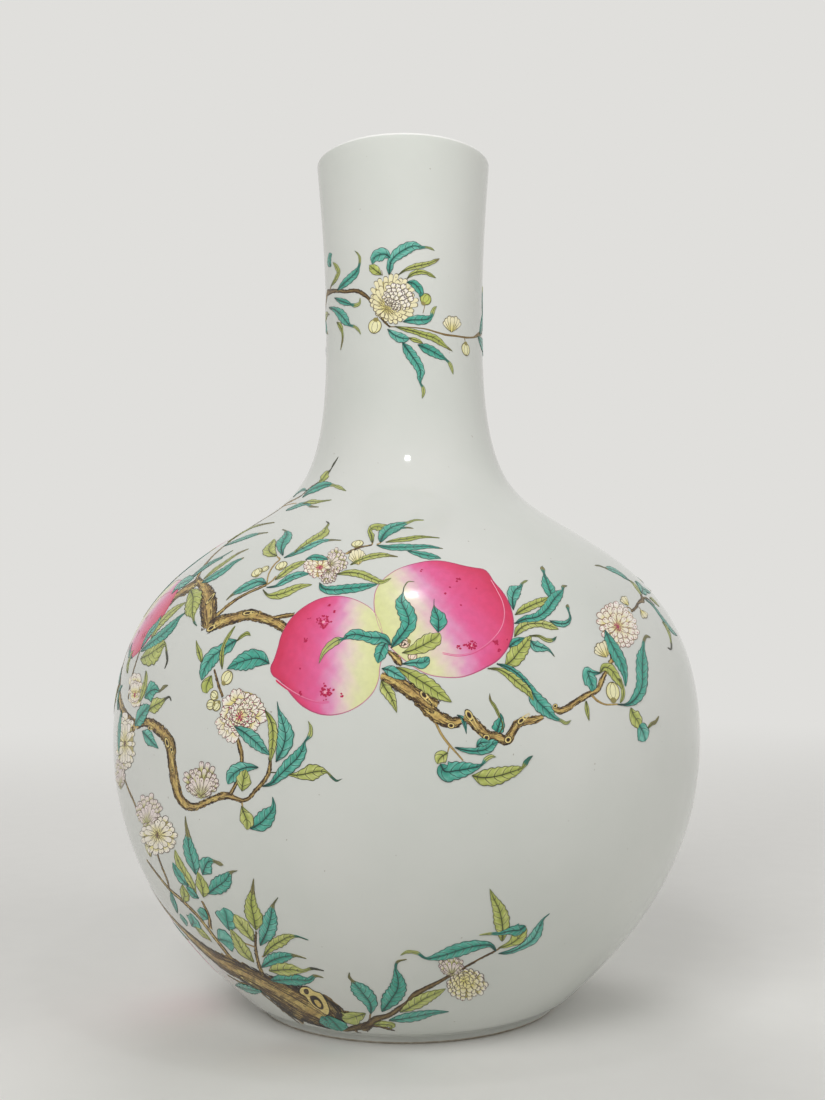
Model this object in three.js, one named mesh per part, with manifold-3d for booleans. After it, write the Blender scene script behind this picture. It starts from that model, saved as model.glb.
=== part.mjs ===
import * as THREE from "three";
import { mergeVertices } from "three/addons/utils/BufferGeometryUtils.js";
import Module from "manifold-3d";

const wasm = await Module();
wasm.setup();

// Famille rose bottle vase with nine peaches, in millimetres
// +Z is up along the vase's axis, the foot rim stands on z = 0, and -Y is the painted front

// The whole vase follows its height: its outline, joints and painting are shares of it
const VASE_HEIGHT = 540;
const sized = (share) => VASE_HEIGHT * share;

// Outside of the vase: radius and height of each place where its outline changes
const LIP_RADIUS = sized(0.1072);
const WAIST_RADIUS = sized(0.0965);
const WAIST_HEIGHT = sized(0.7765);
const SHOULDER_RADIUS = sized(0.1935);
const SHOULDER_HEIGHT = sized(0.5485);
const BELLY_RADIUS = sized(0.3422);
const BELLY_HEIGHT = sized(0.3117);
const HEEL_RADIUS = sized(0.1928);
const HEEL_HEIGHT = sized(0.0154);

// Slopes of the outline from the table, in degrees
const LIP_SLOPE = 85.6;
const SHOULDER_SLOPE = 32.7;
const HEEL_SLOPE = 41.7;

// How far each curve keeps its first and last direction, as a share of the height it climbs
const HEEL_PULL_SHARE = 0.424;
const BELLY_LOWER_PULL_SHARE = 0.408;
const BELLY_UPPER_PULL_SHARE = 0.62;
const SHOULDER_LOWER_PULL_SHARE = 0.325;
const SHOULDER_UPPER_PULL_SHARE = 0.312;
const WAIST_LOWER_PULL_SHARE = 0.769;
const WAIST_UPPER_PULL_SHARE = 0.475;
const LIP_PULL_SHARE = 0.281;

// Foot ring, turned from the lowest thrown section, and the glazed recess inside it
const FOOT_RADIUS = sized(0.1741);
const FOOT_RING_WIDTH = 11;
const FOOT_RING_CHAMFER = 1.5;
const FOOT_RING_HEIGHT = 4;
const RECESS_DEPTH = 6;
const BASE_THICKNESS = 9;
const FLOOR_COVE = 14;

// Wall thickness at the heel, belly, shoulder, waist and lip
const HEEL_WALL = 9;
const BELLY_WALL = 6.5;
const SHOULDER_WALL = 6;
const WAIST_WALL = 5;
const LIP_WALL = 4;

// Heights where the thrown sections are luted together, and the slip between them
const FOOT_JOINT_HEIGHT = sized(0.063);
const BELLY_JOINT_HEIGHT = sized(0.3148);
const NECK_JOINT_HEIGHT = sized(0.5611);
const SLIP_THICKNESS = 2;
const SLIP_BEAD = 1.2;

// Overglaze enamel: gap to the glaze, height of its flat edge, and gap between two patches
const ENAMEL_CLEARANCE = 0.35;
const ENAMEL_THICKNESS = 0.45;
const PATCH_GAP = 0.6;

// Enamelled motifs
const PEACH_WIDTH = sized(0.1019);
const PEACH_LENGTH = sized(0.1111);
const PEACH_CROWN = 0.5;
const LEAF_WIDTH = sized(0.0185);
const LEAF_CROWN = 0.3;
const TRUNK_WIDTH = sized(0.0259);
const BOUGH_WIDTH = sized(0.0111);
const TWIG_WIDTH = sized(0.0059);
const KNOT_SPACING = sized(0.0407);
const BOUGH_CROWN = 0.4;
const BLOSSOM_CROWN = 0.35;
const TALLEST_CROWN = Math.max(PEACH_CROWN, LEAF_CROWN, BOUGH_CROWN, BLOSSOM_CROWN);

// Facets: sides round the axis, how far facets may leave the curve (outside, as a share of the
// enamel's clearance), and a patch's cell
const SIDE_COUNT = 48;
const OUTSIDE_SAG_SHARE = 0.85;
const INSIDE_SAG = 1.8;
const PATCH_CELL = sized(0.0185);
const LEAST_ROW_COUNT = 4;
const PEACH_POINT_COUNT = 18;
const PEACH_RING_COUNT = 3;
const BLOSSOM_POINT_COUNT = 20;
const BLOSSOM_RING_COUNT = 2;
const PETAL_COUNT = 5;
const PETAL_NOTCH_SHARE = 0.2;

const GLAZE = { color: 0xd6dad2, roughness: 0.08 };
const BISCUIT_SLIP = { color: 0xcfcabc, roughness: 0.6 };
const PEACH_PINK = { color: 0xe0638c, roughness: 0.25 };
const LEAF_GREEN = { color: 0x3f9a80, roughness: 0.25 };
const LEAF_LIME = { color: 0xa9b650, roughness: 0.25 };
const BARK_BROWN = { color: 0x8f6f35, roughness: 0.4 };
const PETAL_CREAM = { color: 0xf0dcc0, roughness: 0.25 };

const vase = new THREE.Group();

// Outline of the vase and points on and under its surface

function leaning(slope) {
  const angle = THREE.MathUtils.degToRad(slope);
  return new THREE.Vector2(Math.cos(angle), Math.sin(angle));
}

function outerOutline() {
  const up = new THREE.Vector2(0, 1);
  const heel = new THREE.Vector2(HEEL_RADIUS, HEEL_HEIGHT);
  const belly = new THREE.Vector2(BELLY_RADIUS, BELLY_HEIGHT);
  const shoulder = new THREE.Vector2(SHOULDER_RADIUS, SHOULDER_HEIGHT);
  const waist = new THREE.Vector2(WAIST_RADIUS, WAIST_HEIGHT);
  const lip = new THREE.Vector2(LIP_RADIUS, VASE_HEIGHT);
  const heelRun = leaning(HEEL_SLOPE);
  const shoulderRun = leaning(SHOULDER_SLOPE);
  shoulderRun.x *= -1;
  const lipRun = leaning(LIP_SLOPE);
  const outline = new THREE.CurvePath();
  const span = (from, fromRun, fromShare, toShare, toRun, to) => {
    const climb = to.y - from.y;
    const leave = from.clone().addScaledVector(fromRun, climb * fromShare);
    const arrive = to.clone().addScaledVector(toRun, -climb * toShare);
    outline.add(new THREE.CubicBezierCurve(from, leave, arrive, to));
  };
  span(heel, heelRun, HEEL_PULL_SHARE, BELLY_LOWER_PULL_SHARE, up, belly);
  span(belly, up, BELLY_UPPER_PULL_SHARE, SHOULDER_LOWER_PULL_SHARE, shoulderRun, shoulder);
  span(shoulder, shoulderRun, SHOULDER_UPPER_PULL_SHARE, WAIST_LOWER_PULL_SHARE, up, waist);
  span(waist, up, WAIST_UPPER_PULL_SHARE, LIP_PULL_SHARE, lipRun, lip);
  return outline;
}

const outline = outerOutline();
const wallRun = outline.getLength();

const WALL_STATIONS = [
  [HEEL_HEIGHT, HEEL_WALL],
  [BELLY_HEIGHT, BELLY_WALL],
  [SHOULDER_HEIGHT, SHOULDER_WALL],
  [WAIST_HEIGHT, WAIST_WALL],
  [VASE_HEIGHT, LIP_WALL],
];

function wallAt(height) {
  const last = WALL_STATIONS.length - 1;
  const next = WALL_STATIONS.findIndex(([stationHeight]) => height < stationHeight);
  const upper = next < 0 ? last : Math.max(next, 1);
  const [z0, wall0] = WALL_STATIONS[upper - 1];
  const [z1, wall1] = WALL_STATIONS[upper];
  const part = THREE.MathUtils.clamp((height - z0) / (z1 - z0), 0, 1);
  return THREE.MathUtils.lerp(wall0, wall1, part);
}

const TANGENT_STEP_SHARE = 0.002;

// Point at a share of the wall's run, moved outward square to the outline
function skinPoint(share, outward) {
  const run = THREE.MathUtils.clamp(share, 0, 1);
  const point = outline.getPoint(run);
  const before = outline.getPoint(Math.max(run - TANGENT_STEP_SHARE, 0));
  const after = outline.getPoint(Math.min(run + TANGENT_STEP_SHARE, 1));
  const tangent = after.sub(before).normalize();
  return new THREE.Vector2(point.x + tangent.y * outward, point.y - tangent.x * outward);
}

const outerPoint = (share) => skinPoint(share, 0);
const innerPoint = (share) => skinPoint(share, -wallAt(outline.getPoint(share).y));

const HALVING_COUNT = 40;

function shareAtHeight(pointAt, height) {
  let low = 0;
  let high = 1;
  for (let halving = 0; halving < HALVING_COUNT; halving += 1) {
    const middle = (low + high) / 2;
    if (pointAt(middle).y < height) low = middle;
    else high = middle;
  }
  return (low + high) / 2;
}

// Points from one share to another, closer together where the outline bends more
function outlineStretch(pointAt, fromShare, toShare, mostSag) {
  const from = pointAt(fromShare);
  const to = pointAt(toShare);
  const middleShare = (fromShare + toShare) / 2;
  const middle = pointAt(middleShare);
  const chord = to.clone().sub(from);
  const sag = Math.abs(chord.cross(middle.clone().sub(from))) / chord.length();
  if (sag < mostSag) return [from, to];
  const lower = outlineStretch(pointAt, fromShare, middleShare, mostSag);
  const upper = outlineStretch(pointAt, middleShare, toShare, mostSag);
  return [...lower.slice(0, -1), ...upper];
}

// Wall between two heights: up its outside and back down its inside
function wallStretch(pointAt, fromHeight, toHeight) {
  const points = outlineStretch(
    pointAt,
    shareAtHeight(pointAt, fromHeight),
    shareAtHeight(pointAt, toHeight),
    pointAt === innerPoint ? INSIDE_SAG : ENAMEL_CLEARANCE * OUTSIDE_SAG_SHARE,
  );
  points[0].y = fromHeight;
  points.at(-1).y = toHeight;
  return points;
}

// Thrown sections

function addMesh(name, geometry, finish) {
  const mesh = new THREE.Mesh(geometry, new THREE.MeshStandardMaterial({ metalness: 0, ...finish }));
  mesh.name = name;
  vase.add(mesh);
}

function turned(profile) {
  const geometry = new THREE.LatheGeometry(profile, SIDE_COUNT);
  geometry.rotateX(Math.PI / 2);
  geometry.deleteAttribute("normal");
  geometry.deleteAttribute("uv");
  return mergeVertices(geometry);
}

function footSectionProfile() {
  const ringInside = FOOT_RADIUS - FOOT_RING_WIDTH;
  const floorHeight = RECESS_DEPTH + BASE_THICKNESS;
  const heel = outerPoint(0);
  const ring = [
    new THREE.Vector2(0, RECESS_DEPTH),
    new THREE.Vector2(ringInside, RECESS_DEPTH),
    new THREE.Vector2(ringInside, FOOT_RING_CHAMFER),
    new THREE.Vector2(ringInside + FOOT_RING_CHAMFER, 0),
    new THREE.Vector2(FOOT_RADIUS - FOOT_RING_CHAMFER, 0),
    new THREE.Vector2(FOOT_RADIUS, FOOT_RING_CHAMFER),
    new THREE.Vector2(FOOT_RADIUS, FOOT_RING_HEIGHT),
    new THREE.Vector2((FOOT_RADIUS + heel.x) / 2, (FOOT_RING_HEIGHT + heel.y) / 2),
  ];
  const outside = wallStretch(outerPoint, HEEL_HEIGHT, FOOT_JOINT_HEIGHT);
  const inside = wallStretch(innerPoint, floorHeight + FLOOR_COVE / 2, FOOT_JOINT_HEIGHT).reverse();
  const coveTop = inside.at(-1);
  const coveFoot = new THREE.Vector2(coveTop.x - FLOOR_COVE, floorHeight);
  const coveMiddle = new THREE.Vector2(
    coveTop.x - FLOOR_COVE / 3,
    THREE.MathUtils.lerp(floorHeight, coveTop.y, 1 / 3),
  );
  return [...ring, ...outside, ...inside, coveMiddle, coveFoot, new THREE.Vector2(0, floorHeight)];
}

function sectionProfile(fromHeight, toHeight) {
  const outside = wallStretch(outerPoint, fromHeight, toHeight);
  const inside = wallStretch(innerPoint, fromHeight, toHeight).reverse();
  return [...outside, ...inside, outside[0].clone()];
}

// Neck with its flared mouth and rounded lip
function neckProfile() {
  const lipRound = LIP_WALL / 2;
  const outside = wallStretch(outerPoint, NECK_JOINT_HEIGHT + SLIP_THICKNESS, VASE_HEIGHT - lipRound);
  const inside = wallStretch(
    innerPoint,
    NECK_JOINT_HEIGHT + SLIP_THICKNESS,
    VASE_HEIGHT - lipRound,
  ).reverse();
  const outer = outside.at(-1);
  const inner = inside[0];
  const middle = (outer.x + inner.x) / 2;
  const half = (outer.x - inner.x) / 2;
  const lip = [Math.PI / 4, Math.PI / 2, (3 * Math.PI) / 4].map(
    (angle) =>
      new THREE.Vector2(
        middle + half * Math.cos(angle),
        VASE_HEIGHT - lipRound + lipRound * Math.sin(angle),
      ),
  );
  return [...outside, ...lip, ...inside, outside[0].clone()];
}

// Ring of luting slip, flush with the glaze outside and squeezed into a bead inside
function slipProfile(height) {
  const top = height + SLIP_THICKNESS;
  const outside = [height, top].map((z) => outerPoint(shareAtHeight(outerPoint, z)).setY(z));
  const inside = [top, height].map((z) => innerPoint(shareAtHeight(innerPoint, z)).setY(z));
  const bead = new THREE.Vector2(
    (inside[0].x + inside[1].x) / 2 - SLIP_BEAD,
    (height + top) / 2,
  );
  return [...outside, inside[0], bead, inside[1], outside[0].clone()];
}

function addThrownSections() {
  addMesh("foot_section", turned(footSectionProfile()), GLAZE);
  addMesh("foot_seam", turned(slipProfile(FOOT_JOINT_HEIGHT)), BISCUIT_SLIP);
  addMesh(
    "lower_belly",
    turned(sectionProfile(FOOT_JOINT_HEIGHT + SLIP_THICKNESS, BELLY_JOINT_HEIGHT)),
    GLAZE,
  );
  addMesh("belly_seam", turned(slipProfile(BELLY_JOINT_HEIGHT)), BISCUIT_SLIP);
  addMesh(
    "upper_belly",
    turned(sectionProfile(BELLY_JOINT_HEIGHT + SLIP_THICKNESS, NECK_JOINT_HEIGHT)),
    GLAZE,
  );
  addMesh("neck_seam", turned(slipProfile(NECK_JOINT_HEIGHT)), BISCUIT_SLIP);
  addMesh("neck", turned(neckProfile()), GLAZE);
}

// The glaze rolled out flat: x runs round the vase at the belly's radius, y climbs the wall
// z stands off the glaze

function flatPlace([turnShare, heightShare]) {
  const climbShare = shareAtHeight(outerPoint, heightShare * VASE_HEIGHT);
  return new THREE.Vector2(turnShare * 2 * Math.PI * BELLY_RADIUS, climbShare * wallRun);
}

// Widens a motif's own x where the vase is narrower than its belly
function motifPlace(place, tilt) {
  const centre = flatPlace(place);
  const turn = THREE.MathUtils.degToRad(tilt);
  return (point) => {
    const { x, y } = point.clone().rotateAround(new THREE.Vector2(), turn);
    const radius = outerPoint((centre.y + y) / wallRun).x;
    return new THREE.Vector2(centre.x + (x * BELLY_RADIUS) / radius, centre.y + y);
  };
}

function wrapRound({ x, y, z }) {
  const skin = skinPoint(y / wallRun, z);
  const turn = x / BELLY_RADIUS;
  return new THREE.Vector3(skin.x * Math.sin(turn), -skin.x * Math.cos(turn), skin.y);
}

// Closed slab over a flat net of triangles whose rim runs anticlockwise
function slab(points, faces, rim, floorLevel, topLevels) {
  const count = points.length;
  const vertices = points.flatMap(({ x, y }) => [x, y, floorLevel]);
  points.forEach(({ x, y }, index) => vertices.push(x, y, topLevels[index]));
  const triangles = [];
  for (const [a, b, c] of faces) {
    triangles.push(a, c, b);
    triangles.push(a + count, b + count, c + count);
  }
  rim.forEach((a, index) => {
    const b = rim[(index + 1) % rim.length];
    triangles.push(a, b, b + count);
    triangles.push(a, b + count, a + count);
  });
  return new wasm.Manifold(
    new wasm.Mesh({
      numProp: 3,
      vertProperties: new Float32Array(vertices),
      triVerts: new Uint32Array(triangles),
    }),
  );
}

function enamelSlabs(points, grownPoints, faces, rim, crowns, crownHeight) {
  const edgeLevel = ENAMEL_CLEARANCE + ENAMEL_THICKNESS;
  const levels = crowns.map((crown) => edgeLevel + crown * crownHeight);
  return {
    solid: slab(points, faces, rim, ENAMEL_CLEARANCE, levels),
    cutter: slab(grownPoints, faces, rim, 0, crowns.map(() => edgeLevel + TALLEST_CROWN + PATCH_GAP)),
  };
}

// Round motif from its outline: rings of points about a middle that stands proud
function discMotif(place, tilt, outlineAt, pointCount, rings, crownHeight) {
  const put = motifPlace(place, tilt);
  const ringPoints = (growth) => {
    const points = [put(new THREE.Vector2())];
    for (let ring = 1; ring <= rings; ring += 1) {
      for (let index = 0; index < pointCount; index += 1) {
        const edge = outlineAt((index / pointCount) * 2 * Math.PI);
        edge.setLength(edge.length() + growth);
        points.push(put(edge.multiplyScalar(ring / rings)));
      }
    }
    return points;
  };
  const crowns = [1];
  const faces = [];
  for (let ring = 1; ring <= rings; ring += 1) {
    for (let index = 0; index < pointCount; index += 1) {
      const next = (index + 1) % pointCount;
      const outerA = 1 + (ring - 1) * pointCount + index;
      const outerB = 1 + (ring - 1) * pointCount + next;
      crowns.push(1 - (ring / rings) ** 2);
      if (ring === 1) {
        faces.push([0, outerA, outerB]);
        continue;
      }
      faces.push([outerA - pointCount, outerA, outerB]);
      faces.push([outerA - pointCount, outerB, outerB - pointCount]);
    }
  }
  const rim = [...Array(pointCount).keys()].map((index) => 1 + (rings - 1) * pointCount + index);
  return enamelSlabs(ringPoints(0), ringPoints(PATCH_GAP), faces, rim, crowns, crownHeight);
}

// Long motif along a flat line, with a ridge down its middle and an end point each way
function strokeMotif(line, widthAt, crownHeight) {
  const middleRadius = outerPoint(line.getPoint(1 / 2).y / wallRun).x;
  const cell = PATCH_CELL * Math.sqrt(BELLY_RADIUS / middleRadius);
  const rows = Math.max(LEAST_ROW_COUNT, Math.ceil(line.getLength() / cell));
  const strokePoints = (growth) => {
    const along = (share) => line.getPointAt(share);
    const first = along(0).addScaledVector(line.getTangentAt(0), -growth);
    const last = along(1).addScaledVector(line.getTangentAt(1), growth);
    const points = [first];
    for (let row = 1; row < rows; row += 1) {
      const share = row / rows;
      const spine = along(share);
      const tangent = line.getTangentAt(share);
      const right = new THREE.Vector2(tangent.y, -tangent.x);
      const half = widthAt(share) / 2 + growth;
      const stretch = BELLY_RADIUS / outerPoint(spine.y / wallRun).x;
      const side = (reach) =>
        new THREE.Vector2(spine.x + right.x * reach * stretch, spine.y + right.y * reach);
      points.push(side(half), spine, side(-half));
    }
    points.push(last);
    return points;
  };
  const end = 1 + 3 * (rows - 1);
  const crowns = [0];
  const faces = [[0, 1, 2], [0, 2, 3]];
  for (let row = 1; row < rows; row += 1) {
    const right = 3 * row - 2;
    crowns.push(0, 1, 0);
    if (row === rows - 1) {
      faces.push([right, end, right + 1], [right + 1, end, right + 2]);
      continue;
    }
    faces.push([right, right + 3, right + 4], [right, right + 4, right + 1]);
    faces.push([right + 1, right + 4, right + 5], [right + 1, right + 5, right + 2]);
  }
  crowns.push(0);
  const rowNumbers = [...Array(rows - 1).keys()];
  const rim = [
    0,
    ...rowNumbers.map((row) => 3 * row + 1),
    end,
    ...rowNumbers.reverse().map((row) => 3 * row + 3),
  ];
  return enamelSlabs(strokePoints(0), strokePoints(PATCH_GAP), faces, rim, crowns, crownHeight);
}

// Peach: round shoulders with a shallow cleft at the stalk and a short point, along local +x
const PEACH_CLEFT_SHARE = 0.07;
const PEACH_POINT_SHARE = 0.16;

function peachOutline(angle) {
  const point = PEACH_POINT_SHARE * Math.max(Math.cos(angle), 0) ** 8;
  const cleft = PEACH_CLEFT_SHARE * Math.max(-Math.cos(angle), 0) ** 6;
  const reach = 1 + point - cleft;
  const halfLength = PEACH_LENGTH / (2 + PEACH_POINT_SHARE - PEACH_CLEFT_SHARE);
  return new THREE.Vector2(
    halfLength * reach * Math.cos(angle),
    (PEACH_WIDTH / 2) * reach * Math.sin(angle),
  );
}

function peach([turnShare, heightShare, tilt]) {
  const place = [turnShare, heightShare];
  return discMotif(place, tilt, peachOutline, PEACH_POINT_COUNT, PEACH_RING_COUNT, PEACH_CROWN);
}

// Blossom: five round petals with a notch between each two
function blossom([turnShare, heightShare, radiusShare]) {
  const radius = sized(radiusShare);
  const petals = (angle) => {
    const swell = Math.abs(Math.cos((PETAL_COUNT * angle) / 2));
    const reach = radius * (1 - PETAL_NOTCH_SHARE * (1 - swell));
    return new THREE.Vector2(reach * Math.cos(angle), reach * Math.sin(angle));
  };
  const place = [turnShare, heightShare];
  return discMotif(place, 0, petals, BLOSSOM_POINT_COUNT, BLOSSOM_RING_COUNT, BLOSSOM_CROWN);
}

// Leaf: a long lens that bends sideways, widest before its middle
const LEAF_BEND_SHARE = 0.12;
const LEAF_SWELL_SHARE = 0.42;

function leaf([turnShare, heightShare, tilt, lengthShare]) {
  const length = sized(lengthShare);
  const put = motifPlace([turnShare, heightShare], tilt);
  const line = new THREE.SplineCurve([
    put(new THREE.Vector2(-length / 2, 0)),
    put(new THREE.Vector2(0, length * LEAF_BEND_SHARE)),
    put(new THREE.Vector2(length / 2, 0)),
  ]);
  const widthAt = (share) => {
    const part = share < LEAF_SWELL_SHARE
      ? share / LEAF_SWELL_SHARE
      : (1 - share) / (1 - LEAF_SWELL_SHARE);
    return LEAF_WIDTH * Math.sin((part * Math.PI) / 2);
  };
  return strokeMotif(line, widthAt, LEAF_CROWN);
}

// Bough: thick where it starts, thinner to its tip, with a swelling at each knot
const TIP_SHARE = 0.45;
const KNOT_SHARE = 0.14;

function bough(width, places) {
  const line = new THREE.SplineCurve(places.map(flatPlace));
  const knots = Math.round(line.getLength() / KNOT_SPACING);
  const widthAt = (share) => {
    const taper = THREE.MathUtils.lerp(1, TIP_SHARE, share);
    return width * taper * (1 + KNOT_SHARE * Math.cos(2 * Math.PI * knots * share));
  };
  return strokeMotif(line, widthAt, BOUGH_CROWN);
}

// Places: share of a full turn from the front, to the right, and share of the vase's height
// Then a tilt in degrees, and a length or radius as a share of the vase's height

const FRONT_PEACH_SHARES = [
  [-0.035, 0.402, 190],
  [0.019, 0.435, 42],
  [-0.183, 0.446, 200],
  [-0.236, 0.512, 150],
  [-0.216, 0.075, 160],
];

const FRONT_BLOSSOM_SHARES = [
  [-0.077, 0.354, 0.0222],
  [-0.092, 0.293, 0.0148],
  [-0.138, 0.231, 0.0259],
  [0.02, 0.12, 0.0148],
  [0.119, 0.43, 0.0204],
  [-0.013, 0.807, 0.0185],
];

const TRUNK_SHARES = [
  [-0.4, 0.35], [-0.36, 0.3], [-0.33, 0.235], [-0.295, 0.17], [-0.25, 0.15],
  [-0.2, 0.142], [-0.155, 0.105], [-0.123, 0.091], [-0.103, 0.081], [-0.087, 0.065],
  [-0.073, 0.043], [-0.063, 0.033],
];

const FRONT_BOUGH_SHARES = {
  upper_left: [
    [-0.145, 0.476], [-0.125, 0.467], [-0.111, 0.446], [-0.107, 0.432],
    [-0.093, 0.437], [-0.083, 0.444], [-0.072, 0.439], [-0.063, 0.432],
  ],
  right: [
    [0, 0.378], [0.006, 0.361], [0.013, 0.346], [0.026, 0.344], [0.043, 0.326],
    [0.061, 0.343], [0.085, 0.363], [0.095, 0.37], [0.105, 0.398],
  ],
  lower_left: [
    [-0.245, 0.25], [-0.2, 0.31], [-0.165, 0.335], [-0.142, 0.333], [-0.125, 0.322],
    [-0.119, 0.304], [-0.116, 0.267], [-0.106, 0.257], [-0.083, 0.27], [-0.074, 0.269],
    [-0.065, 0.285], [-0.06, 0.306],
  ],
};

const FRONT_TWIG_SHARES = {
  upper: [[-0.092, 0.458], [-0.08, 0.472], [-0.08, 0.498], [-0.055, 0.51], [-0.024, 0.517]],
  foot: [[-0.038, 0.028], [-0.019, 0.044], [0.004, 0.072], [0.024, 0.093], [0.048, 0.117]],
  edge: [[0.134, 0.494], [0.161, 0.481], [0.165, 0.463], [0.186, 0.42], [0.2, 0.38]],
  neck: [
    [-0.16, 0.831], [-0.093, 0.82], [-0.065, 0.807], [-0.041, 0.783],
    [-0.019, 0.774], [0.042, 0.774], [0.077, 0.768], [0.155, 0.774],
  ],
};

const FRONT_GREEN_LEAF_SHARES = [
  [0.055, 0.372, 320, 0.0704],
  [0.07, 0.463, 35, 0.0593],
  [0.021, 0.298, 290, 0.0481],
  [0.136, 0.375, 300, 0.0556],
  [-0.083, 0.317, 300, 0.037],
  [-0.112, 0.176, 60, 0.063],
  [-0.072, 0.113, 40, 0.063],
  [0.064, 0.15, 40, 0.0556],
  [0.012, 0.044, 5, 0.0444],
  [-0.005, 0.545, 35, 0.0481],
  [0.01, 0.862, 60, 0.0407],
  [-0.112, 0.795, 310, 0.0333],
  [0.013, 0.735, 300, 0.0481],
];

const FRONT_LIME_LEAF_SHARES = [
  [0.073, 0.425, 340, 0.0593],
  [0.045, 0.292, 310, 0.0556],
  [-0.071, 0.24, 320, 0.0519],
  [0.046, 0.168, 100, 0.0519],
  [-0.06, 0.55, 50, 0.0444],
  [0.06, 0.83, 30, 0.037],
];

// The hidden side repeats part of the front's painting, half a turn round the vase
const BACK_TURN_SHARE = 0.5;
const turnedBack = ([turnShare, ...rest]) => [turnShare + BACK_TURN_SHARE, ...rest];
const withBack = (shares, ...repeated) => [
  ...shares,
  ...repeated.map((number) => turnedBack(shares[number - 1])),
];

const PEACH_SHARES = withBack(FRONT_PEACH_SHARES, 1, 2, 3, 4);
const BLOSSOM_SHARES = withBack(FRONT_BLOSSOM_SHARES, 1, 3, 6);
const GREEN_LEAF_SHARES = withBack(FRONT_GREEN_LEAF_SHARES, 1, 6);
const LIME_LEAF_SHARES = withBack(FRONT_LIME_LEAF_SHARES, 1, 3);
const BOUGH_SHARES = {
  ...FRONT_BOUGH_SHARES,
  back_high: FRONT_BOUGH_SHARES.upper_left.map(turnedBack),
  back_low: FRONT_BOUGH_SHARES.right.map(turnedBack),
};
const TWIG_SHARES = {
  ...FRONT_TWIG_SHARES,
  neck_back: FRONT_TWIG_SHARES.neck.map(turnedBack),
};

// Patches in order from the front: each one is cut where an earlier one lies over it
function motifs() {
  const numbered = (name, shares, make, finish) =>
    shares.map((share, index) => [`${name}_${index + 1}`, make(share), finish]);
  const boughs = (name, shares, width) =>
    Object.entries(shares).map(([at, places]) => [`${name}_${at}`, bough(width, places), BARK_BROWN]);
  return [
    ...numbered("peach", PEACH_SHARES, peach, PEACH_PINK),
    ...numbered("blossom", BLOSSOM_SHARES, blossom, PETAL_CREAM),
    ...numbered("green_leaf", GREEN_LEAF_SHARES, leaf, LEAF_GREEN),
    ...numbered("lime_leaf", LIME_LEAF_SHARES, leaf, LEAF_LIME),
    ["trunk", bough(TRUNK_WIDTH, TRUNK_SHARES), BARK_BROWN],
    ...boughs("bough", BOUGH_SHARES, BOUGH_WIDTH),
    ...boughs("twig", TWIG_SHARES, TWIG_WIDTH),
  ];
}

// A motif that passes the back's middle line meets those that start on its other side
function shiftedRound(solid) {
  const wholeTurn = 2 * Math.PI * BELLY_RADIUS;
  return [-wholeTurn, 0, wholeTurn].map((shift) => solid.translate([shift, 0, 0]));
}

function cutByEarlier(solid, cutters) {
  return cutters.reduce((rest, cutter) => rest.subtract(cutter), solid);
}

function wrappedGeometry(solid) {
  const { vertProperties, triVerts, numProp } = solid.getMesh();
  const positions = [];
  for (let start = 0; start < vertProperties.length; start += numProp) {
    const [x, y, z] = vertProperties.subarray(start, start + numProp);
    positions.push(...wrapRound({ x, y, z }).toArray());
  }
  const geometry = new THREE.BufferGeometry();
  geometry.setAttribute("position", new THREE.Float32BufferAttribute(positions, 3));
  geometry.setIndex([...triVerts]);
  return geometry;
}

function addEnamels() {
  const cutters = [];
  for (const [name, { solid, cutter }, finish] of motifs()) {
    addMesh(name, wrappedGeometry(cutByEarlier(solid, cutters)), finish);
    cutters.push(...shiftedRound(cutter));
  }
}

addThrownSections();
addEnamels();

export default vase;
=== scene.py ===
import math
import random

import bpy
import numpy as np
from mathutils import Matrix, Vector


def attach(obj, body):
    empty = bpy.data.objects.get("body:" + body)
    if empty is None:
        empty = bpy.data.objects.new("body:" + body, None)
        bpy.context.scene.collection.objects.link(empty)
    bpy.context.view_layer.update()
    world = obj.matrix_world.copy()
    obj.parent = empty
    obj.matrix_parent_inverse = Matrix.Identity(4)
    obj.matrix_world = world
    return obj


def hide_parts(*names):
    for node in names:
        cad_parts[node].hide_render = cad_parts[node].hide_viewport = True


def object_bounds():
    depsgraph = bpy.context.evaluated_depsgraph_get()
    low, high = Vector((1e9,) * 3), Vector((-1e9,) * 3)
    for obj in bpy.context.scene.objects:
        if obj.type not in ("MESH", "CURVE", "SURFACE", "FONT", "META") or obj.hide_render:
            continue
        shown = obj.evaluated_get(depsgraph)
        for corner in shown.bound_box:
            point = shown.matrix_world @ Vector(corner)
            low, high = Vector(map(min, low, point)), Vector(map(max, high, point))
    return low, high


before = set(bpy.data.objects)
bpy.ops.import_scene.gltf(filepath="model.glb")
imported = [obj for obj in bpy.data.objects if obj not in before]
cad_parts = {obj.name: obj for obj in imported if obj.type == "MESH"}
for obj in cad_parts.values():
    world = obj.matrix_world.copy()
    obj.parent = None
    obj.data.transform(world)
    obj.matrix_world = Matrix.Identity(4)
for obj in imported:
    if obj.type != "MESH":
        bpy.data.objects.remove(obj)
cad_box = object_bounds()

# Famille rose bottle vase: a glazed porcelain body, and the peach boughs painted on it in enamel.
# Lengths are in millimetres until a mesh is made. +Z is up and -Y is the photographed front.

MM = 0.001
VASE_HEIGHT = (cad_box[1][2] - cad_box[0][2]) / MM

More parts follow.
